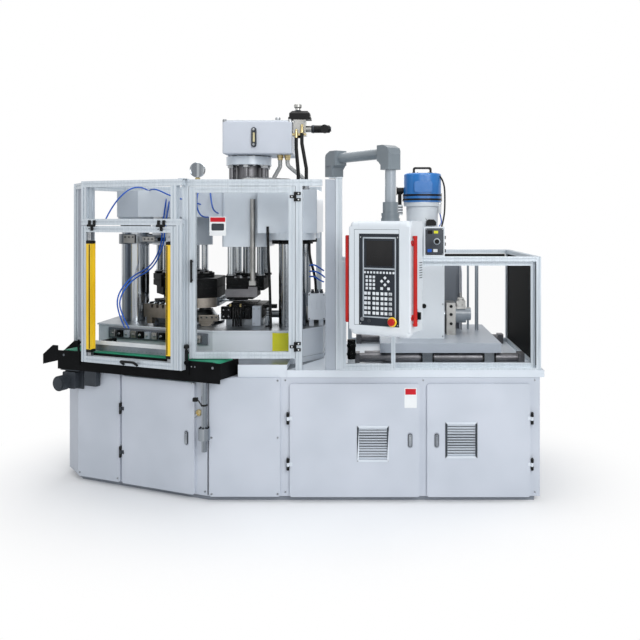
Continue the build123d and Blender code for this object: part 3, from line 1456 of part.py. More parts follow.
def loader_handle():
    """The carrying handle on top of the loader, a moulded bridge."""
    y = 0
    reach = 66.0
    low, high = LOADER_TOP, LOADER_TOP + 46
    outer = block(HOPPER_X - reach, HOPPER_X + reach, y - 14, y + 14, low, high)
    outer = fillet(outer.edges().filter_by(Axis.Y).group_by(Axis.Z)[-1], 16)
    inner = block(HOPPER_X - reach + 15, HOPPER_X + reach - 15, y - 15, y + 15, low - 1, high - 13)
    return outer - fillet(inner.edges().filter_by(Axis.Y).group_by(Axis.Z)[-1], 8)


def suction_valve():
    """The suction valve at the loader's left, with its spout down."""
    x = HOPPER_X - 157
    body = rod((x - 18, 0, 1948), (HOPPER_X - LOADER_RADIUS + 4, 0, 1948), 24)
    body += rod((x - 24, 0, 1948), (x - 18, 0, 1948), 30)
    return body + rod((x, 0, 1778), (x, 0, 1948), 13) + rod((x, 0, 1778), (x, 0, 1850), 20)


def hopper_clamp():
    """The toggle clamp on the front of the hopper."""
    body = block(HOPPER_X + 20, HOPPER_X + 88, -140, -98, 1706, 1748)
    return chamfer(body.edges().filter_by(Axis.Y).group_by(Axis.Z)[-1], 16)


def loader_control():
    """The loader's control box, on the front of the barrel cover's upstand."""
    y = -COVER_HALF - 62
    box = block(1575, 1712, y, y + 60, 1500, 1700)
    box = fillet(box.edges().filter_by(Axis.Y), 8)
    leg = block(1600, 1690, y + 60, -COVER_HALF + 2, COVER_TOP + 1, 1560)
    foot = block(1600, 1690, y + 60, -COVER_HALF + 60, COVER_TOP, COVER_TOP + 4)
    return box, leg + foot


LOADER_KNOB = (1660.0, 1602.0)


def loader_knob():
    """The dial of the loader's control box."""
    x, z = LOADER_KNOB
    y = -COVER_HALF - 62
    return rod((x, y - RUNNING_GAP, z), (x, y - 16, z), 15)


def carriage_poles():
    """Two upright hose poles on the carriage."""
    top = COVER_TOP - 17
    return [
        rod((SLAB_RIGHT - 80, 150, SLAB_TOP), (SLAB_RIGHT - 80, 150, top), 13),
        rod((SLAB_RIGHT - 135, 210, SLAB_TOP), (SLAB_RIGHT - 135, 210, top), 8),
    ]


def pressure_valve():
    """A black valve on a white flanged foot, at the left of the injection side."""
    x, y = 1100.0, -520.0
    foot = block(x - 45, x + 45, y - 35, y + 35, WORKTOP_TOP, WORKTOP_TOP + 12)
    foot += rod((x, y, WORKTOP_TOP + 12), (x, y, WORKTOP_TOP + 48), 22)
    body = rod((x, y, WORKTOP_TOP + 48), (x, y, 985), 26)
    for z in (WORKTOP_TOP + 70, 940):
        body += rod((x, y, z), (x, y, z + 14), 30)
    return foot, body


def electric_box():
    """The pale heater terminal box beside the front column, on two legs."""
    box = block(800, 915, -245, -150, 1075, 1250)
    for n in range(3):
        x = 822 + 32 * n
        box -= block(x, x + 8, -246, -240, 1150, 1200)
    legs = block(806, 836, -215, -185, TABLE_TOP, 1075) + block(870, 900, -215, -185, TABLE_TOP, 1075)
    return box + legs


# Frame over the injection unit
RIGHT_FRONT_LINE = -FRONT_REACH + LIGHT_PROFILE / 2
RIGHT_BACK_LINE = BACK_REACH - LIGHT_PROFILE / 2
RIGHT_FRAME_X = RIGHT_REACH - LIGHT_PROFILE / 2 + 8
TALL_POST_RIGHT = POST_X + PROFILE / 2


def right_frame():
    """Light profile bars over the injection unit."""
    half = LIGHT_PROFILE / 2
    top = RIGHT_FRAME_TOP - half
    low = WORKTOP_TOP + half
    front, back = RIGHT_FRONT_LINE, RIGHT_BACK_LINE
    left, right = TALL_POST_RIGHT, RIGHT_FRAME_X
    size = LIGHT_PROFILE
    return [
        post(right, front, WORKTOP_TOP, RIGHT_FRAME_TOP, size),
        post(right, back, WORKTOP_TOP, RIGHT_FRAME_TOP, size),
        post(left + half, back, WORKTOP_TOP, RIGHT_FRAME_TOP, size),
        rail((left, front, top), (right - half, front, top), 0, size),
        rail((left + size, back, top), (right - half, back, top), 0, size),
        rail((left + size, back, low), (right - half, back, low), 0, size),
        bar((right, front + half, top), (right, back - half, top), size, (0, 0, 1)),
        bar((right, front + half, low), (right, back - half, low), size, (0, 0, 1)),
    ]


def dark_panel():
    """The dark tinted end pane of the right frame."""
    half = LIGHT_PROFILE / 2 - SLOT_DEPTH
    rim = LIGHT_PROFILE - SLOT_DEPTH
    return block(
        RIGHT_FRAME_X - PANE / 2,
        RIGHT_FRAME_X + PANE / 2,
        RIGHT_FRONT_LINE + half,
        RIGHT_BACK_LINE - half,
        WORKTOP_TOP + rim,
        RIGHT_FRAME_TOP - rim,
    )


TRACK_HEIGHT = 12.0
SLIDER_SIZE = 26.0
SLIDER_SPLIT = 1376.0


def slider_track():
    """The double track that the sliding doors run on."""
    left, right = TALL_POST_RIGHT, RIGHT_FRAME_X - LIGHT_PROFILE / 2
    y0 = -FRONT_REACH - 4
    return block(left, right, y0, y0 + 62, WORKTOP_TOP, WORKTOP_TOP + TRACK_HEIGHT)


def slider(x0, x1, y):
    """One glazed sliding door of light bars."""
    low = WORKTOP_TOP + TRACK_HEIGHT
    high = RIGHT_FRAME_TOP - LIGHT_PROFILE - 2
    bars = frame_of_bars(x0, x1, low, high, y, SLIDER_SIZE)
    rim = SLIDER_SIZE - SLOT_DEPTH
    pane = block(x0 + rim, x1 - rim, y - PANE / 2, y + PANE / 2, low + rim, high - rim)
    return bars, pane


def arm_column():
    """The tall profile post that carries the arm, and the sheet column beside it."""
    tall = post(POST_X, FRONT_LINE, WORKTOP_TOP, ARM_FOOT)
    left = POST_X - PROFILE / 2 - 64
    sheet = block(left, left + 63.5, -FRONT_REACH, -FRONT_REACH + 90, WORKTOP_TOP, FRAME_TOP)
    sheet = fillet(sheet.edges().filter_by(Axis.Z), 6)
    plate = block(POST_X - 62, POST_X + 22, -FRONT_REACH - 6, -FRONT_REACH + 66, ARM_FOOT, ARM_FOOT + 8)
    return tall, sheet, plate


ARM_FOOT = 2004.0
ARM_PIVOT = (995.0, -610.0)


def arm_direction():
    """The level unit direction of the arm at rest."""
    return (Vector(DROP_X, DROP_Y) - Vector(*ARM_PIVOT)).normalized()


def elbow(place, z0, height, toward):
    """A faceted cast elbow: an upright socket with a level socket out of its top, chamfered outside."""
    x, y = place
    half = ARM_RADIUS + 14
    level = ARM_HEIGHT
    plane = Plane(origin=(x, y, 0), x_dir=toward, z_dir=Vector(toward.Y, -toward.X, 0))
    if plane.y_dir.Z < 0:
        plane = Plane(origin=(x, y, 0), x_dir=toward, z_dir=Vector(-toward.Y, toward.X, 0))
    points = [
        (-half, z0), (half, z0), (half, level - half - 14), (half + 14, level - half), (ELBOW_REACH, level - half),
        (ELBOW_REACH, level + half), (half * 0.3, level + half), (-half * 0.6, level + half * 0.6),
        (-half, level - half * 0.2),
    ]
    body = extrude(plane * make_face(Polyline(*points, close=True)), half, both=True)
    body = chamfer(body.edges().filter_by(Axis.Z).filter_by(lambda e: e.length > 20), 10)
    collar = rod((x, y, z0), (x, y, z0 + 16), half + 1)
    return body + collar


ELBOW_REACH = 78.0


def arm():
    """The swinging arm: elbow on the post, level tube, elbow, and drop tube."""
    direction = arm_direction()
    foot = ARM_FOOT + 8 + RUNNING_GAP
    first = elbow(ARM_PIVOT, foot, ARM_HEIGHT - foot, direction)
    second = elbow((DROP_X, DROP_Y), 2030, ARM_HEIGHT - 2030, direction * -1)
    a = Vector(*ARM_PIVOT, ARM_HEIGHT) + direction * ELBOW_REACH
    b = Vector(DROP_X, DROP_Y, ARM_HEIGHT) - direction * ELBOW_REACH
    tube = rod(tuple(a), tuple(b), ARM_RADIUS)
    drop = rod((DROP_X, DROP_Y, COUPLING_TOP + RUNNING_GAP), (DROP_X, DROP_Y, 2030), ARM_RADIUS)
    return first, second, tube + drop


COUPLING_TOP = 1847.0
FLANGE_TOP = 1785.0


def coupling():
    """The swivel coupling and flange on top of the pendant."""
    body = rod((DROP_X, DROP_Y, FLANGE_TOP), (DROP_X, DROP_Y, COUPLING_TOP), 44)
    flange = None
    step = (FLANGE_TOP - PENDANT_TOP) / 3
    for n, radius in enumerate((54, 50, 52)):
        z = PENDANT_TOP + n * step
        tier = rod((DROP_X, DROP_Y, z), (DROP_X, DROP_Y, z + step), radius)
        flange = tier if flange is None else flange + tier
    return body + flange


PENDANT_PLACE = Pos(DROP_X, DROP_Y, 0) * Rot(0, 0, -PENDANT_YAW)


def pendant_cabinet():
    """The white box behind the operator's panel."""
    half = PENDANT_WIDTH / 2 - 18
    front = -PENDANT_FRONT + PENDANT_RIM
    box = block(-half, half, front, front + CABINET_DEPTH, PENDANT_BOTTOM + 22, PENDANT_TOP)
    box = fillet(box.edges().filter_by(Axis.Z), 8)
    return PENDANT_PLACE * box


FACE_WIDTH = 248.0
FACE_BOTTOM = 1162.0
FACE_TOP = 1670.0


def pendant_frame():
    """The frame round the panel: half-round top and bottom caps with ball ends between straight sides."""
    half = PENDANT_WIDTH / 2
    back = -PENDANT_FRONT + PENDANT_RIM
    radius = PENDANT_RIM / 2
    middle = back - radius
    body = block(-half, half, -PENDANT_FRONT, back, PENDANT_BOTTOM + radius, PENDANT_TOP - radius)
    body = fillet(body.edges().filter_by(Axis.Z), 8)
    for z in (PENDANT_BOTTOM + radius, PENDANT_TOP - radius):
        body += rod((-half + radius, middle, z), (half - radius, middle, z), radius)
        for x in (-half + radius, half - radius):
            body += Pos(x, middle, z) * Sphere(radius)
        for x in (-half + 62, half - 62):
            seam = pipe((x - 1, middle, z), (x + 1, middle, z), radius + 1, radius - 1.5)
            body -= seam - block(x - 2, x + 2, -PENDANT_FRONT - 5, back + 5, PENDANT_BOTTOM + 60, PENDANT_TOP - 60)
    recess = block(
        -FACE_WIDTH / 2, FACE_WIDTH / 2, -PENDANT_FRONT - 1, -PENDANT_FRONT + 8, FACE_BOTTOM, FACE_TOP
    )
    return PENDANT_PLACE * (body - recess)


SCREEN = (-88.0, 92.0, 1488.0, 1640.0)
KEYPAD = (-92.0, 92.0, 1208.0, 1474.0)
STOP_PLACE = (84.0, 1189.0)
KEY_PLACE = (-102.0, 1196.0)
STOP_TRAVEL = 5.0


def pendant_face():
    """The dark panel face with its screen and keypad fields, and the stop button's yellow ring."""
    y = -PENDANT_FRONT + 8
    half = FACE_WIDTH / 2
    face = block(-half, half, y - 6, y, FACE_BOTTOM, FACE_TOP)
    x0, x1, z0, z1 = SCREEN
    face -= block(x0, x1, y - 7, y - 4, z0, z1)
    sx, sz = STOP_PLACE
    face -= rod((sx, y - 7, sz), (sx, y + 1, sz), 8 + SLIDING_CLEARANCE)
    kx, kz = KEY_PLACE
    face -= rod((kx, y - 7, kz), (kx, y - 3, kz), 8 + SLIDING_CLEARANCE)
    ring = pipe((sx, y - 6, sz), (sx, y - 12, sz), 24, 8 + SLIDING_CLEARANCE)
    return PENDANT_PLACE * face, PENDANT_PLACE * ring


def stop_button():
    """The mushroom stop button."""
    y = -PENDANT_FRONT + 8
    x, z = STOP_PLACE
    stem = rod((x, y - 1 - STOP_TRAVEL, z), (x, y - 18, z), 8)
    cap = rod((x, y - 12 - STOP_TRAVEL - 1, z), (x, y - 34, z), 20)
    cap = fillet(cap.edges().sort_by(Axis.Y)[0], 6)
    return PENDANT_PLACE * (stem + cap)


def key_switch():
    """The round key switch."""
    y = -PENDANT_FRONT + 8
    x, z = KEY_PLACE
    barrel_part = rod((x, y - 3, z), (x, y - 12, z), 8)
    return PENDANT_PLACE * (barrel_part + rod((x, y - 6.5, z), (x, y - 12, z), 11))


MAIN_SWITCH = (60.0, 1215.0)


def main_switch():
    """The black main switch knob on the right side of the pendant's box."""
    side = PENDANT_WIDTH / 2 - 18
    depth, z = MAIN_SWITCH
    y = -PENDANT_FRONT + PENDANT_RIM + depth
    disc = rod((side + RUNNING_GAP, y, z), (side + 10, y, z), 22)
    grip = block(side + 10, side + 26, y - 7, y + 7, z - 20, z + 20)
    return PENDANT_PLACE * (disc + grip)


def red_handles():
    """The two red bar handles beside the panel, each on two standoffs."""
    solids = []
    for side in (-1, 1):
        x = side * (PENDANT_WIDTH / 2 + 20)
        y = -PENDANT_FRONT + 22
        grip = rod((x, y, 1175), (x, y, 1655), 11)
        for z in (1225, 1610):
            grip += rod((side * PENDANT_WIDTH / 2, y, z), (x, y, z), 7)
        solids.append(PENDANT_PLACE * grip)
    return solids


# Hoses, gauge and air tubes
def hose(points, radius, bend):
    """A hose along straight runs joined by bends."""
    path = FilletPolyline(*points, radius=bend)
    return sweep(Plane(origin=path @ 0, z_dir=path % 0) * Circle(radius), path)


def braided_hoses():
    """Steel braided hoses from the tank and the neck to the right casting."""
    top = HOUSING_TOP
    runs = [
        [(600, -130, TANK_BOTTOM), (600, -130, 2110), (560, -160, 2030), (560, -160, top)],
        [(650, -130, TANK_BOTTOM), (650, -130, 2120), (760, -140, 2030), (760, -140, top)],
    ]
    return [hose(points, 14, 38) for points in runs]


def elbow_hose():
    """The brass-ended hose that crosses in front of the neck."""
    x = HOUSING_MIDDLE
    points = [(x - 30, -160, HOUSING_TOP), (x - 30, -160, 2030), (700, -190, 2010), (700, -190, HOUSING_TOP)]
    return hose(points, 14, 45)


def black_hoses():
    """Two black hoses from the valve block down into the casting."""
    solids = []
    for x, top, lean in BLACK_HOSES:
        start = top - 54
        points = [
            (x, HOSE_Y, start),
            (x, HOSE_Y, start - 70),
            (x + lean, HOSE_Y, start - 240),
            (x + lean, HOSE_Y, HOUSING_TOP),
        ]
        solids.append(hose(points, HOSE_RADIUS, 60))
    return solids


GAUGE_PLACE = (146.0, 2056.0)
GAUGE_RADIUS = 45.0
GAUGE_FRONT = FRONT_LINE - 16.0


def pressure_gauge():
    """The glycerine pressure gauge on a stem over the top beam."""
    x, z = GAUGE_PLACE
    y = FRONT_LINE
    case = rod((x, y + 14, z), (x, GAUGE_FRONT, z), GAUGE_RADIUS)
    case -= rod((x, GAUGE_FRONT + 6, z), (x, GAUGE_FRONT - 1, z), GAUGE_RADIUS - 6)
    arbor = rod((x, GAUGE_FRONT + 7, z), (x, GAUGE_FRONT + 1, z), 3)
    stem = rod((x, y, FRAME_TOP), (x, y, z - 30), 9)
    return case + arbor + stem


def gauge_pointer():
    """The gauge's pointer, on its arbor."""
    x, z = GAUGE_PLACE
    hub = rod((x, GAUGE_FRONT + 4, z), (x, GAUGE_FRONT + 2.5, z), 6)
    needle = block(x - 2, x + 2, GAUGE_FRONT + 2.5, GAUGE_FRONT + 4, z, z + 30)
    pointer = hub + needle - rod((x, GAUGE_FRONT + 5, z), (x, GAUGE_FRONT + 1, z), 3 + SLIDING_CLEARANCE)
    return Pos(x, 0, z) * Rot(0, -130, 0) * Pos(-x, 0, -z) * pointer


# Hydraulic power unit inside the base
def power_unit():
    """Oil reservoir with the pump and motor on top, behind the middle door."""
    floor = PLINTH_HEIGHT + SHEET
    left, right = MIDDLE_DOOR[0] + 67, MIDDLE_DOOR[1] - 65
    tank = block(left, right, -520, 60, floor, floor + 300)
    tank = fillet(tank.edges().filter_by(Axis.Z), 20)
    axis = floor + 440
    motor = rod((left + 110, -220, axis), (left + 450, -220, axis), 120)
    feet = block(left + 150, left + 410, -320, -120, floor + 300, floor + 345)
    pump = rod((left + 450, -220, axis), (left + 550, -220, axis), 60)
    return tank, motor + feet + pump


def switchgear():
    """The switchgear back plate with rows of devices, behind the right door."""
    floor = PLINTH_HEIGHT + SHEET
    left, right = RIGHT_DOOR[0] + 49, RIGHT_DOOR[1] - 8
    plate = block(left, right, 100, 104, floor, floor + 640)
    rows = []
    for n in range(3):
        z = floor + 110 + 180 * n
        rows.append(block(left + 40, right - 40, 20, 100, z, z + 90))
    return plate + rows[0] + rows[1] + rows[2]


def separate(items):
    """All single solids of shapes and of lists of shapes."""
    if not isinstance(items, (list, tuple)):
        return items.solids()
    return [solid for item in items for solid in separate(item)]


def save(name, *solids):
    """Write one node as a STEP file."""
    shapes = separate(solids)
    node = shapes[0] if len(shapes) == 1 else Compound(children=shapes)
    node.label = name
    export_step(node, os.path.join("parts", name + ".step"))


def main():
    os.makedirs("parts", exist_ok=True)

    save_base()
    save_guard()
    save_conveyor()
    save_press()
    save_injection()
    save_right_frame()
    save_pendant()


def save_base():
    hinges, service_door, middle_door, right_door = cabinet_doors()
    (service_plate, service_paddle), (middle_plate, middle_paddle), (right_plate, right_paddle) = latches()
    skirt, plate = press_table()
    save("base_cabinet", plinth(), base_cabinet(), cover_panels())
    save("fixed_hinges", hinges, gate()[1], centre_door()[2])
    save("service_door", service_door, service_plate)
    save("middle_door", middle_door, middle_plate, vent(MIDDLE_VENT))
    save("right_door", right_door, right_plate, vent(RIGHT_VENT))
    save("service_latch", service_paddle)
    save("middle_latch", middle_paddle)
    save("right_latch", right_paddle)
    save("worktop", worktop(), press_deck())
    save("press_table", skirt, plate)
    save("power_unit", power_unit(), switchgear())


def save_guard():
    gate_bars, _, gate_moving, gate_handle = gate()
    door_bars, door_pane, _, door_moving = centre_door()
    handle_place = Pos(DOOR_LEFT + PROFILE / 2, -FRONT_REACH, 1430)
    save("guard_frame", angled_guard(), side_guard(), centre_guard())
    save("gate_frame", gate_bars, gate_moving, gate_handle)
    save("light_curtains", light_curtains())
    save("centre_door", door_bars, door_pane, door_moving, bar_handle(handle_place))


def save_conveyor():
    strip, feet = guide_rail()
    save("conveyor_frame", conveyor_frame(), feet, strip, guide_brackets(), discharge_chute())
    save("support_post", support_post())
    save("conveyor_belt", conveyor_belt())
    save("drive_roller", roller(DRIVE_U))
    save("idle_roller", roller(IDLE_U))
    save("conveyor_drive", conveyor_motor(), conveyor_control())


def save_press():
    front_column, front_nut = column(COLUMN_FRONT, CASTING_BOTTOM)
    back_column, back_nut = column(COLUMN_BACK, CASTING_BOTTOM)
    left_column, left_nut = column(COLUMN_LEFT, LEFT_CASTING_BOTTOM, COLUMN_COLLAR)
    body, cap, bolt, ring, solenoid, elbows = valve_group()
    blow_housing = station_turn(1) * clamp_housing(LEFT_CASTING_BOTTOM)
    lower = lower_mould()
    save("main_columns", front_column, back_column, left_column, column_clamp())
    save("black_fittings", front_nut, back_nut, left_nut, cap, solenoid, black_hoses(), pressure_valve())
    save("top_castings", right_casting(), left_casting(), clamp_housing(HOUSING_TOP), blow_housing)
    save("tank_neck", cylinder_neck())
    save("oil_tank", oil_tank())
    save("valve_group", sight_gauge(), body, bolt, ring, elbows)
    save("steel_hoses", braided_hoses(), elbow_hose())
    save("pressure_gauge", pressure_gauge())
    save("gauge_pointer", gauge_pointer())
    save("index_housing", index_housing(), [station_turn(2) * s for s in stripper_stand()])
    save("index_shaft", index_shaft())
    save("index_head", index_head())
    save("core_rods", [station_turn(n) * s for n in range(3) for s in [core_bar(), *core_rods()]])
    save("lower_moulds", lower, [station_turn(1) * s for s in lower])
    save("injection_platen", upper_platen(), upper_mould(), platen_rods(), face_bar(), stroke_rod())
    save("blow_platen", [station_turn(1) * s for s in [upper_platen(), *upper_mould(), *platen_rods()]])
    save("stripper_bar", [station_turn(2) * s for s in stripper_bar()])


def save_injection():
    bearing, motor = screw_motor()
    box, leg = loader_control()
    save("carriage_rails", rails(), rail_supports())
    save("injection_carriage", injection_carriage(), barrel_stand(), bearing, carriage_poles(), back_sheets())
    save("barrel", barrel(), heater_bands(), motor)
    save("screw", screw())
    save("barrel_cover", barrel_cover(), leg)
    save("hopper", hopper() + hopper_clamp())
    save("loader_head", loader_head() + suction_valve(), loader_handle())
    save("loader_control", box)
    save("loader_knob", loader_knob())


def save_right_frame():
    left, right = TALL_POST_RIGHT, RIGHT_FRAME_X - LIGHT_PROFILE / 2
    tall, sheet, arm_plate = arm_column()
    save("right_frame", right_frame(), slider_track(), tall, arm_plate)
    save("dark_panel", dark_panel())
    save("left_slider", slider(left, SLIDER_SPLIT, -FRONT_REACH + 11))
    save("right_slider", slider(SLIDER_SPLIT - SLIDER_SIZE, right, -FRONT_REACH + 43))
    save("sheet_panels", sheet, electric_box(), side_panel())


def save_pendant():
    face, ring = pendant_face()
    save("swing_arm", arm())
    save("pendant_cabinet", coupling(), pendant_cabinet())
    save("pendant_frame", pendant_frame())
    save("pendant_face", face, ring)
    save("stop_button", stop_button())
    save("key_switch", key_switch())
    save("main_switch", main_switch())
    save("red_handles", red_handles())


if __name__ == "__main__":
    main()
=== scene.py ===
"""Looks of a three-station injection blow moulding machine, in metres, +Z up, operator on the -Y side."""

import json
from math import cos, pi, radians, sin

import bmesh
import bpy
from mathutils import Matrix, Vector
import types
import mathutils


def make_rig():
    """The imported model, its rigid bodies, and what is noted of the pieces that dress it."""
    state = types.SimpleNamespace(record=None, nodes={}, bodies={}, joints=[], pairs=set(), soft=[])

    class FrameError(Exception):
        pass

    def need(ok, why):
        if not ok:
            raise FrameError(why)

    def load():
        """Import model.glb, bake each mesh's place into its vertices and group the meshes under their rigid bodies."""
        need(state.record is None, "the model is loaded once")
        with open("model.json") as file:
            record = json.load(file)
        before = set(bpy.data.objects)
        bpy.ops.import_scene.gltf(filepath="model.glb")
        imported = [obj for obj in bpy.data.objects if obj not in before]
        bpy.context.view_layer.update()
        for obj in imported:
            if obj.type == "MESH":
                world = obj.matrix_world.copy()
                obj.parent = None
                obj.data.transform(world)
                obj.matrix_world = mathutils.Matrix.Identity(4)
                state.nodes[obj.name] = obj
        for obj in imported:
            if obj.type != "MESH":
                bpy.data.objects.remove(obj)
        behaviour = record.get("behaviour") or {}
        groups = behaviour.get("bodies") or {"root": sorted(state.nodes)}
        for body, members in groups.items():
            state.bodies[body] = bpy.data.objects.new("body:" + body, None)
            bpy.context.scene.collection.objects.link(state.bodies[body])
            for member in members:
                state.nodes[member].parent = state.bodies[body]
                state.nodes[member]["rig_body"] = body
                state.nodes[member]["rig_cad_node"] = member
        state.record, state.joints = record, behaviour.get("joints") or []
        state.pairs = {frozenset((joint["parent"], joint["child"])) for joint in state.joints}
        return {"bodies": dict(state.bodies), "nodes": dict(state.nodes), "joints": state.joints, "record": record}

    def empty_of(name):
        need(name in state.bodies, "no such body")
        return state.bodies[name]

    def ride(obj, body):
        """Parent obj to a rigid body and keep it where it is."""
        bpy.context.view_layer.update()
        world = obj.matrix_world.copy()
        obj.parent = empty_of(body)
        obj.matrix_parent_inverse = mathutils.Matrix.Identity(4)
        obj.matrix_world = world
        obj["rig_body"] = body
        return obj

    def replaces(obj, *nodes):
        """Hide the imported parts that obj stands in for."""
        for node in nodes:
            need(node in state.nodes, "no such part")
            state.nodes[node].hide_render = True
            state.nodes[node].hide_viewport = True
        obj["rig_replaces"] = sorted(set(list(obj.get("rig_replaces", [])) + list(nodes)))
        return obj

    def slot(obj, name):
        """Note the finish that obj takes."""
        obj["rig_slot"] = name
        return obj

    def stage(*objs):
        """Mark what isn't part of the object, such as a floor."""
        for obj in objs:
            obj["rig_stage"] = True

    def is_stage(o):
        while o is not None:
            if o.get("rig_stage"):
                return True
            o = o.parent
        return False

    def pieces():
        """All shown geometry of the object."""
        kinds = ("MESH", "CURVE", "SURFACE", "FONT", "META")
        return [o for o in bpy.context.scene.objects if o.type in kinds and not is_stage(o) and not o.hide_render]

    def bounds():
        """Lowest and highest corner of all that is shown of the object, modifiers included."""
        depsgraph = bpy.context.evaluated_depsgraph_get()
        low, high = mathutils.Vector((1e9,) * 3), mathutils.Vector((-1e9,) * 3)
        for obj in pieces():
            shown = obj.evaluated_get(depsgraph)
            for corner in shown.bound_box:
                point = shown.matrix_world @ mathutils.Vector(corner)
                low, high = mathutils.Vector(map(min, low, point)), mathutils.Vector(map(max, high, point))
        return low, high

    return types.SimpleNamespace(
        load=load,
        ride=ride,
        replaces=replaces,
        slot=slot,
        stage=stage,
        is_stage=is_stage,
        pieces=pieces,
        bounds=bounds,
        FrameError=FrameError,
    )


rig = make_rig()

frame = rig.load()
cad_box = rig.bounds()
NODES = frame["nodes"]
MM = 0.001

WHITE = (1, 1, 1, 1)

# Places on the machine in millimetres, in the same frame as the model, and its angles in degrees
FRONT = -640.0
FACE_ANGLE = 22.6
CORNER_X = 214.0
ARM_FOOT = (995.0, -610.0)
PENDANT_AT = (1336.0, -1040.0)
PENDANT_YAW = 27.0
PANEL_FRONT = -148.0
STATION_STEP = 120.0
PRESS_X = 366
PLATEN_TOP = 1350
COLUMNS = ((692, -200), (690, 200), (-463, 102))
COLUMN_REACH = 94
CASTING_TOP = 1946
NECK_FLANGE = (2125, 2183)
TANK_LID = 2412
LOADER_X, LOADER_TOP = 1582.0, 2069
COVER_FRONT = -250
POST_AT = (201, -687)

# Directions in a piece's own frame: towards the operator, up and down
OUT, UP, DOWN = (0, -1, 0), (0, 0, 1), (0, 0, -1)


def new_object(name, data):
    """An object of some data, in the scene."""
    item = bpy.data.objects.new(name, data)
    bpy.context.scene.collection.objects.link(item)
    return item


def set_camera():
    """The photograph's view: level, square to the front, with the frame shifted up and sideways."""
    focal_pixels, picture = 765.0, 640.0
    principal = (373.5, 219.0)
    camera = bpy.data.cameras.new("camera")
    camera.sensor_width = 36.0
    camera.lens = camera.sensor_width * focal_pixels / picture
    camera.shift_x = (picture / 2 - principal[0]) / picture
    camera.shift_y = (principal[1] - picture / 2) / picture
    camera.clip_end = 60.0
    seat = new_object("camera", camera)
    seat.location = (1.240, -5.380, 1.751)
    seat.rotation_euler = (pi / 2, 0, 0)
    bpy.context.scene.camera = seat


def area_light(name, place, aim, size, watts):
    """A soft square lamp aimed at a point."""
    lamp = bpy.data.lights.new(name, "AREA")
    lamp.size = size
    lamp.energy = watts
    seat = new_object(name, lamp)
    seat.location = place
    seat.rotation_euler = (Vector(aim) - Vector(place)).to_track_quat("-Z", "Y").to_euler()


def linear(code):
    """A linear colour from an sRGB hex value."""
    values = [int(code[i : i + 2], 16) / 255 for i in (1, 3, 5)]
    return tuple(v / 12.92 if v <= 0.04045 else ((v + 0.055) / 1.055) ** 2.4 for v in values) + (1.0,)


def add(tree, kind, values=None, links=None, **settings):
    """A shader node with its settings, socket values and incoming links."""
    node = tree.nodes.new(kind)
    for key, value in settings.items():
        setattr(node, key, value)
    for key, value in (values or {}).items():
        node.inputs[key].default_value = value
    for key, source in (links or {}).items():
        tree.links.new(source, node.inputs[key])
    return node


def combine(tree, operation, a, b):
    """Two values joined by a product or a maximum."""
    return add(tree, "ShaderNodeMath", links={0: a, 1: b}, operation=operation).outputs[0]


def mix_surface(tree, share, low, high, output):
    """An output's surface, from the low shader to the high one by a share."""
    mix = add(tree, "ShaderNodeMixShader", links={0: share, 1: low, 2: high})
    tree.links.new(mix.outputs[0], output.inputs["Surface"])


def set_stage():
    """A white surround, a pale floor that keeps the machine's shadow, and plain studio lamps."""
    world = bpy.data.worlds.new("studio")
    world.use_nodes = True
    tree = world.node_tree
    tree.nodes.clear()
    lit = add(tree, "ShaderNodeBackground", {"Color": linear("#F1F3F7"), "Strength": 0.46})
    seen = add(tree, "ShaderNodeBackground", {"Color": WHITE, "Strength": 1.0})
    output = add(tree, "ShaderNodeOutputWorld")
    # White to the camera, in mirrors and through glass; the dimmer shade is what lights the machine
    rays = add(tree, "ShaderNodeLightPath").outputs
    direct = combine(tree, "MAXIMUM", rays["Is Camera Ray"], rays["Is Glossy Ray"])
    looks = combine(tree, "MAXIMUM", direct, rays["Is Transmission Ray"])
    mix_surface(tree, looks, lit.outputs[0], seen.outputs[0], output)
    bpy.context.scene.world = world

    floor_mesh = bpy.data.meshes.new("floor")
    reach, gap_below = 14.0, 0.0005
    corners = [(-reach, -reach), (reach, -reach), (reach, reach), (-reach, reach)]
    floor_mesh.from_pydata([(x, y, -gap_below) for x, y in corners], [], [(0, 1, 2, 3)])
    floor = new_object("floor", floor_mesh)
    paper = bpy.data.materials.new("floor paper")
    paper.use_nodes = True
    bsdf = paper.node_tree.nodes["Principled BSDF"]
    bsdf.inputs["Base Color"].default_value = linear("#F6F7F8")
    bsdf.inputs["Roughness"].default_value = 0.9
    bsdf.inputs["Specular IOR Level"].default_value = 0.1
    fade_floor(paper.node_tree, bsdf)
    floor_mesh.materials.append(paper)
    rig.stage(floor)

    middle = (0.6, 0.0, 1.1)
    area_light("key", (3.2, -5.8, 3.9), middle, 3.2, 235)
    area_light("fill", (-4.2, -4.4, 2.6), middle, 3.0, 24)
    area_light("top", (0.6, 0.0, 5.6), middle, 3.6, 120)
    area_light("back", (0.4, 5.0, 3.4), middle, 3.0, 60)
    bpy.context.scene.view_settings.view_transform = "Standard"


def fade_floor(tree, bsdf):
    """The floor keeps its shade near the machine and turns to the white surround further out."""
    fade_start, fade_end = 0.9, 1.9
    place = add(tree, "ShaderNodeTexCoord").outputs["Object"]
    oval = {"Location": (-0.55, 0.1, 0), "Scale": (0.75, 1, 1)}
    mapping = add(tree, "ShaderNodeMapping", oval, {"Vector": place})
    reach = add(tree, "ShaderNodeVectorMath", links={0: mapping.outputs[0]}, operation="LENGTH")
    far = add(tree, "ShaderNodeMapRange", {"From Min": fade_start, "From Max": fade_end},
              {"Value": reach.outputs["Value"]}, interpolation_type="SMOOTHSTEP")
    rays = add(tree, "ShaderNodeLightPath").outputs
    seen = combine(tree, "MULTIPLY", far.outputs[0], rays["Is Camera Ray"])
    white = add(tree, "ShaderNodeEmission", {"Color": WHITE, "Strength": 1.0})
    mix_surface(tree, seen, bsdf.outputs[0], white.outputs[0], tree.nodes["Material Output"])


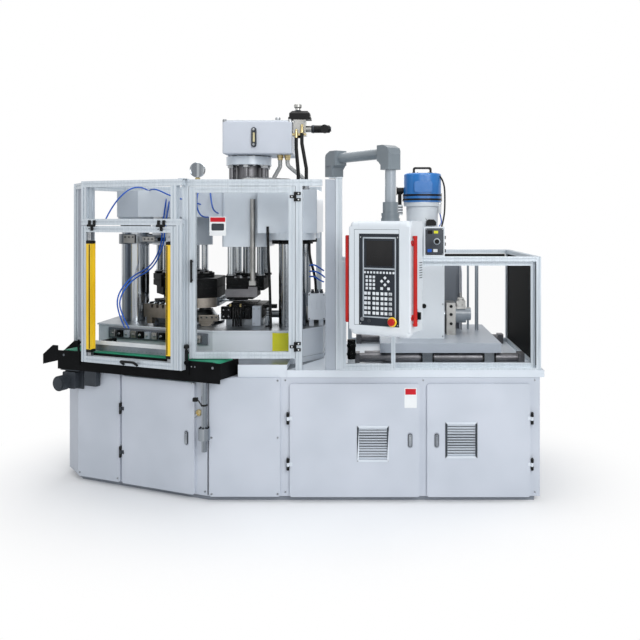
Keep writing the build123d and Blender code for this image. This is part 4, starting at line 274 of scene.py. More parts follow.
class Surface:
    """A new material with its principled shader, and the object coordinates that its patterns use."""

    def __init__(self, name, colour, **values):
        self.material = bpy.data.materials.new(name)
        self.material.use_nodes = True
        self.tree = self.material.node_tree
        self.bsdf = self.tree.nodes["Principled BSDF"]
        self.set(Base_Color=linear(colour), **values)
        self.place = add(self.tree, "ShaderNodeTexCoord").outputs["Object"]

    def set(self, **values):
        """Values of the shader's sockets, with _ for a space in a name."""
        for key, value in values.items():
            self.bsdf.inputs[key.replace("_", " ")].default_value = value

    def scaled(self, size_mm, stretch=(1, 1, 1)):
        """Object coordinates in steps of size_mm, longer where stretch is under 1."""
        mapping = add(self.tree, "ShaderNodeMapping", links={"Vector": self.place})
        mapping.inputs["Scale"].default_value = [s / (size_mm * MM) for s in stretch]
        return mapping.outputs[0]

    def grain(self, size_mm, stretch=(1, 1, 1), detail=3.0):
        """Noise whose grains are size_mm across, longer where stretch is under 1."""
        noise = add(self.tree, "ShaderNodeTexNoise", {"Scale": 1.0, "Detail": detail},
                    {"Vector": self.scaled(size_mm, stretch)})
        return noise.outputs["Fac"]

    def blend(self, fac, low, high, span=(0.35, 0.65)):
        """Base colour between two hex values by a pattern."""
        ramp = add(self.tree, "ShaderNodeValToRGB", links={"Fac": fac})
        for element, position, colour in zip(ramp.color_ramp.elements, span, (low, high)):
            element.position, element.color = position, linear(colour)
        self.tree.links.new(ramp.outputs["Color"], self.bsdf.inputs["Base Color"])

    def vary(self, socket, fac, low, high):
        """A socket's value between two numbers by a pattern."""
        spread = add(self.tree, "ShaderNodeMapRange", {"To Min": low, "To Max": high}, {"Value": fac})
        self.tree.links.new(spread.outputs[0], self.bsdf.inputs[socket])

    def bump(self, height, depth_mm):
        """Relief of a real depth."""
        node = add(self.tree, "ShaderNodeBump", {"Distance": depth_mm * MM, "Strength": 1.0},
                   {"Height": height})
        self.tree.links.new(node.outputs[0], self.bsdf.inputs["Normal"])


def powder_coat(name, colour, shade, roughness=0.42):
    """Powder coat on sheet: faint orange peel, a little uneven in tone from baking and handling."""
    s = Surface(name, colour, Roughness=roughness)
    tone = s.grain(420, detail=2.0)
    s.blend(tone, shade, colour)
    # Real orange peel is 2 mm across; 9 mm is the finest that shows at this distance
    peel = s.grain(9)
    s.vary("Roughness", peel, roughness - 0.06, roughness + 0.08)
    s.bump(peel, 0.12)
    return s.material


def enamel(name, colour, shade, roughness=0.3):
    """Sprayed enamel on castings: smoother than powder coat, with slight sags."""
    s = Surface(name, colour, Roughness=roughness)
    s.set(Coat_Weight=0.25, Coat_Roughness=0.15)
    tone = s.grain(260)
    s.blend(tone, shade, colour)
    sag = s.grain(34)
    s.bump(sag, 0.5)
    return s.material


def anodised(name, colour, shade):
    """Clear anodised extrusion: satin, with upright drawing lines about 6 mm apart."""
    s = Surface(name, colour, Metallic=0.35, Roughness=0.38)
    lines = s.grain(6, stretch=(1, 1, 0.02))
    s.blend(lines, shade, colour)
    s.vary("Roughness", lines, 0.3, 0.44)
    return s.material


def ground_steel(name, colour, shade, roughness, scratch_mm, stretch=(1, 1, 1)):
    """Ground and chromed or turned steel: bright, with fine marks along or round it and oil traces."""
    s = Surface(name, colour, Metallic=1.0, Roughness=roughness)
    marks = s.grain(scratch_mm, stretch)
    stains = s.grain(160, detail=4.0)
    s.blend(stains, shade, colour)
    s.vary("Roughness", marks, roughness * 0.7, roughness * 1.5)
    s.bump(marks, 0.03)
    return s.material


def moulded(name, colour, shade, roughness=0.45, grain_mm=7.0, gloss=0.5):
    """Moulded plastic or rubber with a fine leathery grain."""
    s = Surface(name, colour, Roughness=roughness, Specular_IOR_Level=gloss)
    skin = s.grain(grain_mm)
    tone = s.grain(120, detail=2.0)
    s.blend(tone, shade, colour)
    s.vary("Roughness", skin, roughness - 0.08, roughness + 0.1)
    s.bump(skin, 0.1)
    return s.material


def blackened(name, colour="#151617", shade="#0A0B0C", roughness=0.5):
    """Burnished or black-painted steel, rubbed grey in places."""
    s = Surface(name, colour, Roughness=roughness)
    s.set(Specular_IOR_Level=0.07)
    rub = s.grain(90, detail=2.0)
    s.blend(rub, shade, colour, (0.3, 0.75))
    s.vary("Roughness", rub, roughness - 0.08, roughness + 0.16)
    s.bump(rub, 0.15)
    return s.material


def hard_chrome(name, colour, shade):
    """Hard-chromed and polished columns: mirror-like, with painted reflection as darker streaks in bands along their
    length.
    """
    s = Surface(name, colour, Metallic=1.0, Roughness=0.14)
    # Painted reflection: bands of darker colour along the length stand in for dark surroundings mirrored in the chrome
    bands = s.grain(46, (1, 1, 0.01), 2.0)
    s.blend(bands, shade, colour, (0.38, 0.56))
    marks = s.grain(5, (1, 1, 0.05))
    s.vary("Roughness", marks, 0.1, 0.22)
    return s.material


def clear_sheet(name, colour, alpha, roughness=0.03):
    """Clear acrylic or glass: mostly see-through, with a gloss and faint smears."""
    s = Surface(name, colour, Roughness=roughness, Alpha=alpha)
    smear = s.grain(180)
    s.vary("Roughness", smear, roughness, roughness + 0.12)
    return s.material


def braided(name):
    """Stainless braid over a hose: slanting bands of wire about 5 mm apart."""
    s = Surface(name, "#B9BABB", Metallic=0.9, Roughness=0.34)
    wave = add(s.tree, "ShaderNodeTexWave", {"Scale": 1.0, "Distortion": 1.5},
               {"Vector": s.scaled(5)}, bands_direction="DIAGONAL")
    weave = wave.outputs["Fac"]
    s.blend(weave, "#77797B", "#C4C6C7", (0.2, 0.8))
    s.bump(weave, 0.5)
    return s.material


M = {
    "base": powder_coat("pale blue-grey powder coat", "#C3C9D3", "#B9C0CA"),
    "pale": powder_coat("pale grey powder coat", "#D2D9E1", "#CAD2DA"),
    "skirt": powder_coat("white-grey powder coat", "#D9DFE6", "#D1D8E0"),
    "mid_sheet": powder_coat("mid grey powder coat", "#AAB2BC", "#A1A9B3"),
    # The plinth's darker grey is painted shade at the foot of the cabinet
    "plinth": powder_coat("plinth grey powder coat with painted shade", "#8F959E", "#858B94"),
    "white": powder_coat("white powder coat", "#D6DCE1", "#CDD4DA", 0.38),
    "grey_sheet": powder_coat("grey powder coat", "#A6ACB7", "#9BA1AC"),
    "casting": enamel("pale grey enamel on castings", "#D2DAE2", "#C6CFD8"),
    "profile": anodised("clear anodised aluminium", "#CBD3DA", "#BBC4CB"),
    # The chrome's darker colour is painted reflection, laid in bands along each rod
    "chrome": hard_chrome("hard-chromed steel", "#C3C8CC", "#7C8288"),
    "steel": ground_steel("turned steel", "#8F9499", "#6C7176", 0.3, 7.0),
    "table_steel": ground_steel("ground table plate", "#9CA2A9", "#7D8389", 0.32, 14.0, (0.2, 1, 1)),
    "bright": ground_steel("milled aluminium", "#B0B0AE", "#8E8E8B", 0.34, 6.0, (0.3, 1, 1)),
    "black_steel": blackened("burnished steel"),
    "black_paint": blackened("black paint on steel", "#101113", "#070809", 0.46),
    "black_plastic": moulded("black moulded plastic", "#121314", "#0B0C0D", 0.42, gloss=0.18),
    "green_belt": moulded("green coated belt", "#2A9A76", "#238163", 0.5, 4.0, 0.25),
    "yellow": enamel("yellow enamel", "#F8CF24", "#EDC11E", 0.35),
    "arm": enamel("grey enamel on cast parts", "#717B82", "#646E75", 0.34),
    "tube_grey": enamel("light grey enamel on tube", "#949DA5", "#8A939B", 0.3),
    "arm_tube": enamel("mid grey enamel on tube", "#7C868D", "#707A81", 0.32),
    "face": moulded("dark printed film", "#222831", "#1C2229", 0.32, 5.0, 0.25),
    "screen": moulded("display glass", "#131315", "#0E0E10", 0.12, 60.0, 0.2),
    "silver_film": moulded("silver printed film", "#AEB7BE", "#A3ACB4", 0.35, 5.0),
    "key": moulded("white rubber keys", "#DDE2E6", "#CED4D9", 0.5, 5.0),
    "red": moulded("red moulded plastic", "#BE1F19", "#AB1814", 0.3, 9.0, 0.3),
    "white_plastic": moulded("white plastic", "#DFE2E4", "#D1D5D8", 0.4, 6.0),
    "blue": enamel("blue gloss enamel", "#0C6CB6", "#0862A8", 0.36),
    "blue_tube": moulded("blue polyurethane tube", "#1258BC", "#0C4AA4", 0.3, 20.0, 0.3),
    "black_hose": moulded("black rubber hose", "#131416", "#0C0D0E", 0.5, 5.0, 0.2),
    "braid": braided("stainless braid"),
    "brass": ground_steel("plated brass", "#C9B98E", "#A99A70", 0.28, 5.0),
    "clear": clear_sheet("clear acrylic", "#10171B", 0.02),
    "black_sheet": moulded("black filled acrylic", "#08090B", "#060708", 0.6, gloss=0.02),
    "dial": moulded("white enamelled dial", "#F1F2F0", "#E6E8E6", 0.4, 12.0),
    "label_yellow": moulded("yellow label stock", "#E4E23C", "#D8D632", 0.4, 8.0, 0.2),
    "label_red": moulded("red printed label", "#C3202B", "#B51A25", 0.4, 8.0, 0.2),
    "warm_steel": ground_steel("machined tool steel", "#908A82", "#6B665F", 0.4, 9.0, (0.3, 1, 1)),
    "bar_steel": ground_steel("milled grey bar", "#77777A", "#626265", 0.42, 8.0, (0.3, 1, 1)),
    "dark_chrome": ground_steel("dark plated bezel", "#4A4E53", "#36393E", 0.3, 6.0),
    "strip_steel": ground_steel("perforated grey strip", "#868D94", "#71787F", 0.45, 8.0, (0.2, 1, 1)),
    "dark_sheet": powder_coat("dark grey powder coat", "#666D76", "#5B626B"),
    "zinc": ground_steel("zinc-plated screws", "#AFB2B5", "#85888C", 0.3, 3.0),
    "sight_glass": moulded("oil sight glass", "#D8CFA8", "#C8BE94", 0.12, 30.0),
    "label_white": moulded("white label stock", "#E4E7E8", "#D8DBDD", 0.4, 8.0, 0.2),
    "grey_plastic": moulded("dark grey moulded plastic", "#383D43", "#2E3339", 0.45, gloss=0.25),
    "latch_grey": ground_steel("satin zinc casting", "#B4B9BE", "#7A7F86", 0.4, 6.0),
}


def on_face(p):
    """Distance along the angled face and outward from it, of a point in millimetres."""
    c, s = cos(radians(FACE_ANGLE)), sin(radians(FACE_ANGLE))
    dx, dy = p.x - CORNER_X, p.y - FRONT
    return -c * dx + s * dy, -s * dx - c * dy


def on_pendant(p):
    """A point in the pendant's own square frame."""
    turn = Matrix.Rotation(radians(PENDANT_YAW), 3, "Z")
    return turn @ Vector((p.x - PENDANT_AT[0], p.y - PENDANT_AT[1], p.z))


def at_station(p, index):
    """A point turned back to the first station."""
    return Matrix.Rotation(radians(-STATION_STEP * index), 3, "Z") @ p


def single_finish(node, key):
    """One material over a whole modelled node."""
    for place in NODES[node].material_slots:
        place.material = M[key]


def dress(node, slot, rule):
    """A piece of the node's own shape whose faces take their material from a rule of place and normal."""
    source = NODES[node]
    piece = new_object(node + ".dressed", source.data.copy())
    piece.data.materials.clear()
    used = []
    for face in piece.data.polygons:
        corners = [piece.data.vertices[i].co * 1000 for i in face.vertices]
        key = rule(face.center * 1000, face.normal, corners)
        if key not in used:
            used.append(key)
            piece.data.materials.append(M[key])
        face.material_index = used.index(key)
    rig.replaces(piece, node)
    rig.ride(piece, source["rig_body"])
    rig.slot(piece, slot)
    return piece


def dress_nodes():
    """Finishes of the modelled nodes: one over a whole node, or several by a rule on its faces."""
    # The rules' limits stand just off the planes that they tell apart, so that rounding decides nothing
    whole = {
        "latch_grey": "service_latch middle_latch right_latch", "grey_sheet": "power_unit",
        "profile": "guard_frame right_frame", "green_belt": "conveyor_belt", "casting": "top_castings",
        "chrome": "support_post index_shaft screw core_rods", "grey_plastic": "conveyor_drive",
        "steel": "drive_roller idle_roller index_housing key_switch", "base": "oil_tank",
        "black_plastic": "gauge_pointer loader_knob main_switch fixed_hinges", "bar_steel": "carriage_rails",
        "white": "loader_control barrel_cover pendant_frame", "black_sheet": "dark_panel",
        "red": "stop_button red_handles", "warm_steel": "stripper_bar", "braid": "steel_hoses",
    }
    for key, nodes in whole.items():
        for node in nodes.split():
            single_finish(node, key)

    door_front = FRONT - 19.0
    vent_half, vent_depth = (90.5, 102.5), 12.5
    latch_z, latch_half = 385, 45

    def door_rule(vent):
        """Pale louvres in the vent and pale trim before the door, dark only about its latch."""
        def rule(p, n, corners):
            louvre = abs(p.x - vent[0]) < vent_half[0] and abs(p.z - vent[1]) < vent_half[1]
            if louvre and p.y > door_front - 0.2 and max(c.y for c in corners) < door_front + vent_depth:
                return "pale"
            if p.y < door_front - 0.1:
                return "grey_plastic" if abs(p.z - latch_z) < latch_half else "pale"
            return "base"
        return rule

    dress("middle_door", "powder_coat", door_rule((1237.0, 364.0)))
    dress("right_door", "powder_coat", door_rule((1782.0, 386.0)))
    dress("service_door", "powder_coat",
                  lambda p, n, c: "grey_plastic" if on_face(p)[1] > 19.1 else "base")
    # The bottom 35 mm takes the darker grey as painted shade under the cabinet
    dress("base_cabinet", "powder_coat", lambda p, n, c: "plinth" if p.z < 34.9 else "base")
    dress("worktop", "powder_coat",
                  lambda p, n, c: "table_steel" if n.z > 0.9 and p.x < 910 else "pale")
    dress("press_table", "table_paint",
                  lambda p, n, c: "table_steel" if n.z > 0.9 else "skirt")
    dress("gate_frame", "anodised",
                  lambda p, n, c: "black_plastic" if on_face(p)[1] > 112.05 else "profile")
    dress("light_curtains", "curtain_yellow",
                  lambda p, n, c: "black_plastic" if not 887.9 < p.z < 1608.1 else "yellow")
    glass_half = 2.05

    def centre_door(p, n, corners):
        if max(abs(v.y - (FRONT + 20)) for v in corners) < glass_half:
            return "clear"
        return "black_plastic" if p.y < FRONT - 0.05 else "profile"

    dress("centre_door", "anodised", centre_door)
    for node, y in (("left_slider", FRONT + 11), ("right_slider", FRONT + 43)):
        dress(node, "anodised", lambda p, n, c, y=y:
                      "clear" if max(abs(v.y - y) for v in c) < glass_half else "profile")

    def conveyor(p, n, corners):
        u, v = on_face(p)
        if 924.9 < p.z < 950.1 and 13.5 < v < 24.5:
            return "white_plastic"
        if 884.9 < p.z < 925.1 and 15.5 < v < 20.5 and 189 < u < 906:
            return "strip_steel"
        return "black_paint"

    dress("conveyor_frame", "blackened", conveyor)

    def columns(p, n, corners):
        if any((p.x - x) ** 2 + (p.y - y) ** 2 < COLUMN_REACH**2 for x, y in COLUMNS):
            return "chrome"
        return "steel" if p.x < 0 and p.z < 1650 else "casting"

    dress("main_columns", "hard_chrome", columns)
    dress("tank_neck", "bright_steel", lambda p, n, c:
                  "casting" if NECK_FLANGE[0] - 0.1 < p.z < NECK_FLANGE[1] + 1 else "bar_steel")
    dress("black_fittings", "blackened", lambda p, n, c:
                  "white_plastic" if p.z < 863.1 else ("black_steel" if p.z < 1800 else "black_plastic"))
    dress("valve_group", "bright_steel", lambda p, n, c:
                  "dark_chrome" if p.y < -229.9 and p.x < 460 else ("brass" if p.y < -208.05 else "bright"))
    dress("pressure_gauge", "bright_steel", lambda p, n, c:
                  "dial" if n.y < -0.9 and p.y > -631 and p.z > 2012 and abs(p.x - 146) < 40 else "chrome")

    def press(index):
        def rule(p, n, corners):
            q = at_station(p, index)
            before = q.y < -190.05
            if before and q.z > 1304:
                return "bright"
            if q.z > PLATEN_TOP + 0.05:
                return "chrome"
            return "bar_steel" if before else "black_steel"
        return rule

    dress("injection_platen", "blackened", press(0))
    dress("blow_platen", "blackened", press(1))
    dress("lower_moulds", "blackened",
                  lambda p, n, c: "steel" if p.z < 1075.1 else "black_steel")
    dress("index_head", "blackened", lambda p, n, c: "warm_steel" if p.z < 1214.9 else "black_steel")

    def carriage(p, n, corners):
        if 886.9 < p.z < 949.1:
            return "mid_sheet"
        if p.z < 887:
            seal = any(a - 0.1 < p.x < a + 10.1 or a + 73.9 < p.x < a + 84.1 for a in (1547, 1947))
            return "black_plastic" if seal else "steel"
        if 225.9 < p.y < 229.1 and p.x < 1871:
            return "dark_sheet"
        if 1875.9 < p.x < 1879.1 and p.y > 149:
            return "grey_sheet"
        return "tube_grey" if p.x > 1920 else "bright"

    dress("injection_carriage", "bright_steel", carriage)

    def barrel(p, n, corners):
        radius = (p.y**2 + (p.z - 1085) ** 2) ** 0.5
        if p.x > 1790:
            return "bright" if min(v.z for v in corners) > 1124 else "tube_grey"
        return "bright" if radius > 51 else "steel"

    dress("barrel", "bright_steel", barrel)

    def loader(p, n, corners):
        if p.x < 1450.5:
            return "white_plastic" if p.z < 1850.1 else "black_plastic"
        if p.z > LOADER_TOP + 0.05 or 1879.9 < p.z < 1893.1 or 1909.9 < p.z < 1923.1:
            return "black_plastic"
        return "blue"

    dress("loader_head", "loader_blue", loader)
    dress("hopper", "hopper_grey", lambda p, n, c:
                  "black_plastic" if p.z < 1748.1 and p.z > 1705.9 and p.y < -97 and p.x > 1601 else "white")
    # The left end panel (x below 0) takes the darker grey as painted shade, for a side turned from the light
    dress("sheet_panels", "table_paint", lambda p, n, c:
                  "grey_sheet" if p.x < 0 else ("mid_sheet" if p.x > 930 else "skirt"))
    dress("swing_arm", "arm_grey", arm_rule)
    dress("pendant_cabinet", "pendant_white",
                  lambda p, n, c: "arm" if p.z > 1740.05 else "white")
    dress("pendant_face", "face_film",
                  lambda p, n, c: "yellow" if on_pendant(p).y < PANEL_FRONT + 1.9 else "face")


def arm_rule(p, n, corners):
    """The elbows are darker than the drawn tubes between them."""
    sleeve = 33.0
    first, second = Vector(ARM_FOOT), Vector(PENDANT_AT)
    flat = Vector((p.x, p.y))
    along = (second - first).normalized()
    step = (flat - first).dot(along)
    off_line = abs((flat - first).x * along.y - (flat - first).y * along.x)
    level = (off_line**2 + (p.z - 2126) ** 2) ** 0.5
    if 75.5 < step < 473 and level < sleeve:
        return "arm_tube"
    if p.z < 2029.5 and (flat - second).length < sleeve:
        return "tube_grey"
    return "arm"


WORLD = Matrix.Identity(4)
FRONT_PLACE = Matrix.Translation((0, FRONT, 0))
FACE_PLACE = Matrix.Translation((CORNER_X, FRONT, 0)) @ Matrix.Rotation(radians(-FACE_ANGLE), 4, "Z")
PENDANT_PLACE = Matrix.Translation((*PENDANT_AT, 0)) @ Matrix.Rotation(radians(-PENDANT_YAW), 4, "Z")


def station_place(index):
    """The frame of a station: x outward from the head, z up."""
    return Matrix.Rotation(radians(STATION_STEP * index), 4, "Z")


def rounded(a0, a1, b0, b1, radius=0.0, steps=4):
    """A rectangle's outline with round corners."""
    if not radius:
        return [(a0, b0), (a1, b0), (a1, b1), (a0, b1)]
    centres = ((a1 - radius, b0 + radius, -90), (a1 - radius, b1 - radius, 0),
               (a0 + radius, b1 - radius, 90), (a0 + radius, b0 + radius, 180))
    return [(a + radius * cos(radians(t + 90 * k / steps)), b + radius * sin(radians(t + 90 * k / steps)))
            for a, b, t in centres for k in range(steps + 1)]


def inset(outline, depth):
    """A convex outline moved inward by a depth."""
    count = len(outline)
    turn = sum(outline[n - 1][0] * outline[n][1] - outline[n][0] * outline[n - 1][1] for n in range(count))
    depth = depth if turn > 0 else -depth
    moved = []
    for n in range(count):
        here = Vector(outline[n])
        a = (here - Vector(outline[n - 1])).normalized()
        b = (Vector(outline[(n + 1) % count]) - here).normalized()
        step = Vector((-a.y - b.y, a.x + b.x)) * depth / (1 + a.dot(b))
        moved.append(tuple(here + step))
    return moved


def circle(x, y, radius, count, first, step):
    """Places on a circle, from a first angle on by a step, both in degrees."""
    angles = [radians(first + step * n) for n in range(count)]
    return [(x + radius * cos(a), y + radius * sin(a)) for a in angles]


class Piece:
    """One piece's mesh, gathered in millimetres in a square frame: x to the right, y inward, z up."""

    def __init__(self, name, body, slot, place=WORLD):
        self.name, self.body, self.slot, self.place = name, body, slot, place
        self.mesh = bmesh.new()
        self.keys = []

    def loft(self, rings, key):
        """Faces between rings of points, closed at both ends."""
        if key not in self.keys:
            self.keys.append(key)
        rows = [[self.mesh.verts.new(self.place @ Vector(p) * MM) for p in ring] for ring in rings]
        count = len(rows[0])
        faces = [self.mesh.faces.new(rows[0][::-1]), self.mesh.faces.new(rows[-1])]
        for low, high in zip(rows, rows[1:]):
            for n in range(count):
                m = (n + 1) % count
                faces.append(self.mesh.faces.new((low[n], low[m], high[m], high[n])))
        for face in faces:
            face.material_index = self.keys.index(key)
            face.smooth = True

    def prism(self, outline, y0, y1, key, edge=0.6):
        """A plate of a convex outline as seen from the front, its edges broken."""
        inner = inset(outline, edge)
        levels = [(inner, y0), (outline, y0 + edge), (outline, y1 - edge), (inner, y1)]
        self.loft([[(x, y, z) for x, z in ring] for ring, y in levels], key)

    def block(self, x0, x1, y0, y1, z0, z1, key, edge=0.6, radius=0.0):
        """A block between two corners, rounded as seen from the front."""
        self.prism(rounded(x0, x1, z0, z1, radius), y0, y1, key, edge)

    def turned(self, at, direction, profile, key, sides=20):
        """A turned piece: (radius, distance along its axis) from one end to the other."""
        turn = Vector(direction).to_track_quat("Z", "Y").to_matrix()
        self.loft([[Vector(at) + turn @ Vector((r * cos(2 * pi * n / sides), r * sin(2 * pi * n / sides), t))
                    for n in range(sides)] for r, t in profile], key)

    def rod(self, a, b, radius, key, sides=16):
        """A round bar between two points, its ends broken."""
        span = Vector(b) - Vector(a)
        edge = min(0.8, radius / 4)
        self.turned(a, span, [(radius - edge, 0), (radius, edge), (radius, span.length - edge),
                              (radius - edge, span.length)], key, sides)

    def screw(self, at, direction, radius, key="zinc"):
        """A cap screw with its socket."""
        height = radius * 0.9
        self.turned(at, direction, [(radius, 0), (radius, height * 0.8), (radius * 0.86, height),
                                    (radius * 0.5, height), (radius * 0.46, height * 0.35)], key, 12)

    def done(self):
        """The object, with its materials, on its body."""
        bmesh.ops.recalc_face_normals(self.mesh, faces=self.mesh.faces)
        data = bpy.data.meshes.new(self.name)
        self.mesh.to_mesh(data)
        self.mesh.free()
        for key in self.keys:
            data.materials.append(M[key])
        data.set_sharp_from_angle(angle=radians(35))
        piece = new_object(self.name, data)
        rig.ride(piece, self.body)
        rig.slot(piece, self.slot)
        return piece


def lines(name, body, slot, key, radius, routes):
    """Bent tubes of one kind; each curve starts and ends at its outer points and bends towards the others."""
    curve = bpy.data.curves.new(name, "CURVE")
    curve.dimensions = "3D"
    curve.bevel_depth = radius * MM
    curve.bevel_resolution = 2
    curve.resolution_u = 5
    curve.use_fill_caps = True
    for points in routes:
        spline = curve.splines.new("NURBS")
        spline.points.add(len(points) - 1)
        for point, place in zip(spline.points, points):
            point.co = (*(c * MM for c in place), 1.0)
        spline.use_endpoint_u = True
        spline.order_u = 3
    curve.materials.append(M[key])
    piece = new_object(name, curve)
    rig.ride(piece, body)
    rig.slot(piece, slot)
    return piece


def add_pendant_pieces():
    """Keys, screen bezel, handle rings, seams and small controls of the operator's panel."""
    face = PANEL_FRONT + 2
    bezel = Piece("screen_bezel", "pendant", "face_film", PENDANT_PLACE)
    x0, x1, z0, z1 = -100, 104, 1477, 1651
    for a, b, c, d in ((x0, x1, z1 - 8, z1), (x0, x1, z0 - 4, z0 + 4), (x0, x0 + 7, 1210, z1),
                       (x1 - 7, x1, 1210, z1), (x0, x1, 1206, 1213)):
        bezel.block(a, b, face - 2, face + 1, c, d, "silver_film")
    bezel.block(x0 + 22, x1 - 22, face - 0.4, face + 1.9, z0 + 16, z1 - 20, "screen", 0.3)
    bezel.done()

    keys = Piece("keypad_keys", "pendant", "face_film", PENDANT_PLACE)

    key_front, key_back = face - 3.4, face - 1

    def row(first, last, count, z, width, height):
        """Keys of one size, spread between two places on a level."""
        for n in range(count):
            x = first + (last - first) * n / (count - 1)
            keys.block(x - width / 2, x + width / 2, key_front, key_back, z - height / 2, z + height / 2,
                       "key", 0.8, 2)

    row(-86, 90, 10, 1456, 12, 12)
    for n in range(4):
        row(-74, -30, 3, 1431 - 21 * n, 14, 14)
    for dx, dz in ((0, 19), (-20, 0), (20, 0), (0, -19)):
        x, z = 38 + dx, 1409 + dz
        keys.prism([(x, z - 10), (x + 10, z), (x, z + 10), (x - 10, z)], key_front, key_back, "key", 0.8)
    row(18, 60, 2, 1369, 16, 15)
    for n in range(5):
        for first, last in ((-82, -60), (-30, -8), (20, 44), (70, 72)):
            row(first, last, 2, 1340 - 27 * n, 17, 17)
    keys.done()

    trim = Piece("pendant_trim", "pendant", "pendant_white", PENDANT_PLACE)
    for side in (-1, 1):
        for z in (1212, 1622):
            trim.turned((side * 180, PANEL_FRONT + 22, z), (side, 0, 0),
                        [(13, 10), (13, 13), (11, 14), (11, 16)], "red")
        for z in (1172, 1658):
            trim.turned((side * 207.5, PANEL_FRONT + 24.6, z), (0, 0, 1 if z > 1400 else -1),
                        [(13.5, -12), (13.5, -2), (12, 0), (12, 2)], "red")
        for z in (1172, 1650):
            trim.screw((side * 114, face, z), OUT, 4)
    trim.turned((84, face - 6, 1189), OUT, [(27, 0), (27, 3), (24, 6), (9, 6)], "yellow", 32)
    trim.turned((-60, face - 0.4, 1188), OUT, [(10, 0), (10, 4), (8, 6), (5, 6), (5, 4)],
                "grey_plastic")
    seam, seam_front, seam_back = 2.5, PANEL_FRONT - 0.4, PANEL_FRONT + 0.6
    for z in (1161, 1692):
        trim.block(-152, 122, seam_front, seam_back, z, z + seam, "arm", 0.2)
    for x in (-154, 122):
        trim.block(x, x + seam, seam_front, seam_back, 1161, 1694, "arm", 0.2)
    for z in (1188, 1330, 1480, 1620):
        trim.block(171.6, 173, -40, -20, z - 10, z + 10, "grey_plastic", 0.3)
    trim.block(172, 174.5, -80, -6, 1180, 1250, "silver_film", 0.6)
    for n in range(7):
        trim.block(171.8, 173.2, 16, 54, 1420 + 14 * n, 1424 + 14 * n, "grey_plastic", 0.2)
    trim.done()


def add_signs():
    """Plain colour fields where the machine carries its signs, without words or symbols."""
    sign = Piece("door_sign", "centre_door", "anodised", FRONT_PLACE)
    sign.block(220, 323, 16.8, 18, 1647, 1766, "label_white", 0.2, 3)
    sign.block(225, 318, 16.4, 17.2, 1733, 1761, "label_red", 0.1, 2)
    sign.block(232, 311, 16.4, 17.2, 1679, 1723, "grey_plastic", 0.1, 8)
    sign.done()
    plate = Piece("cabinet_sign", "middle_door", "powder_coat", FRONT_PLACE)
    plate.block(1431, 1507, -19.9, -18.9, 585, 709, "label_white", 0.2, 3)
    plate.block(1436, 1502, -20.3, -19.7, 667, 703, "label_red", 0.1, 2)
    plate.done()
    label = Piece("table_label", "machine", "table_paint")
    label.block(586, 692, -434.8, -433.6, 884, 1014, "label_yellow", 0.2, 2)
    label.done()


def add_base_pieces():
    """Cover screws, and the vent screws and latch plates of the three cabinet doors."""
    screws = Piece("cover_screws", "machine", "powder_coat", FRONT_PLACE)
    for x in (240, 648):
        for z in (52, 400, 753):
            screws.screw((x, -14, z), OUT, 6)
    for x, z in ((2239, 752), (2239, 60), (1548, 752), (694, 752), (694, 60)):
        screws.screw((x, 0, z), OUT, 5)
    screws.done()
    angled = Piece("face_cover_screws", "machine", "powder_coat", FACE_PLACE)
    for u in (690, 1008, 20):
        for z in (60, 748):
            angled.screw((-u, -14 if u > 100 else 0, z), OUT, 6)
    angled.done()
    for body, x, z, place, latch_x in (
        ("middle_door", 1237, 364, FRONT_PLACE, 1466), ("right_door", 1782, 386, FRONT_PLACE, 1630),
        ("service_door", None, None, FACE_PLACE, -146),
    ):
        trim = Piece(body + "_trim", body, "powder_coat", place)
        if x:
            for dx in (-94, 94):
                for dz in (-106, 106):
                    trim.screw((x + dx, -22, z + dz), OUT, 3.2)
        trim.block(latch_x - 17, latch_x + 17, -20.2, -19, 336, 434, "grey_sheet", 0.5, 16)
        trim.done()


def add_curtain_pieces():
    """Dark windows, end caps, silver brackets and screws of the two light curtains."""
    trim = Piece("curtain_windows", "gate", "curtain_yellow", FACE_PLACE)
    for near, far, slit in ((830, 864, (833, 842)), (197, 231, (219, 228))):
        trim.block(-slit[1], -slit[0], -112.5, -111.8, 910, 1586, "screen", 0.2)
        for low, high in ((886, 906), (1590, 1610)):
            trim.block(-far - 0.8, -near + 0.8, -112.8, -63.2, low, high, "black_plastic", 1.2, 3)
        for low, high in ((862.5, 885.5), (1612, 1665.5)):
            trim.block(-far + 4, -near - 4, -104, -74, low, high, "zinc", 1)
        trim.screw((-(near + far) / 2, -104, 1638), OUT, 6)
        trim.block(-far + 2, -near - 2, -106, -72, 1646, 1652, "zinc", 0.8)
    for u in (815, 266):
        for du in (-16, 16):
            trim.screw((-u + du, -119, 1688), OUT, 4.5, "dark_chrome")
    trim.done()


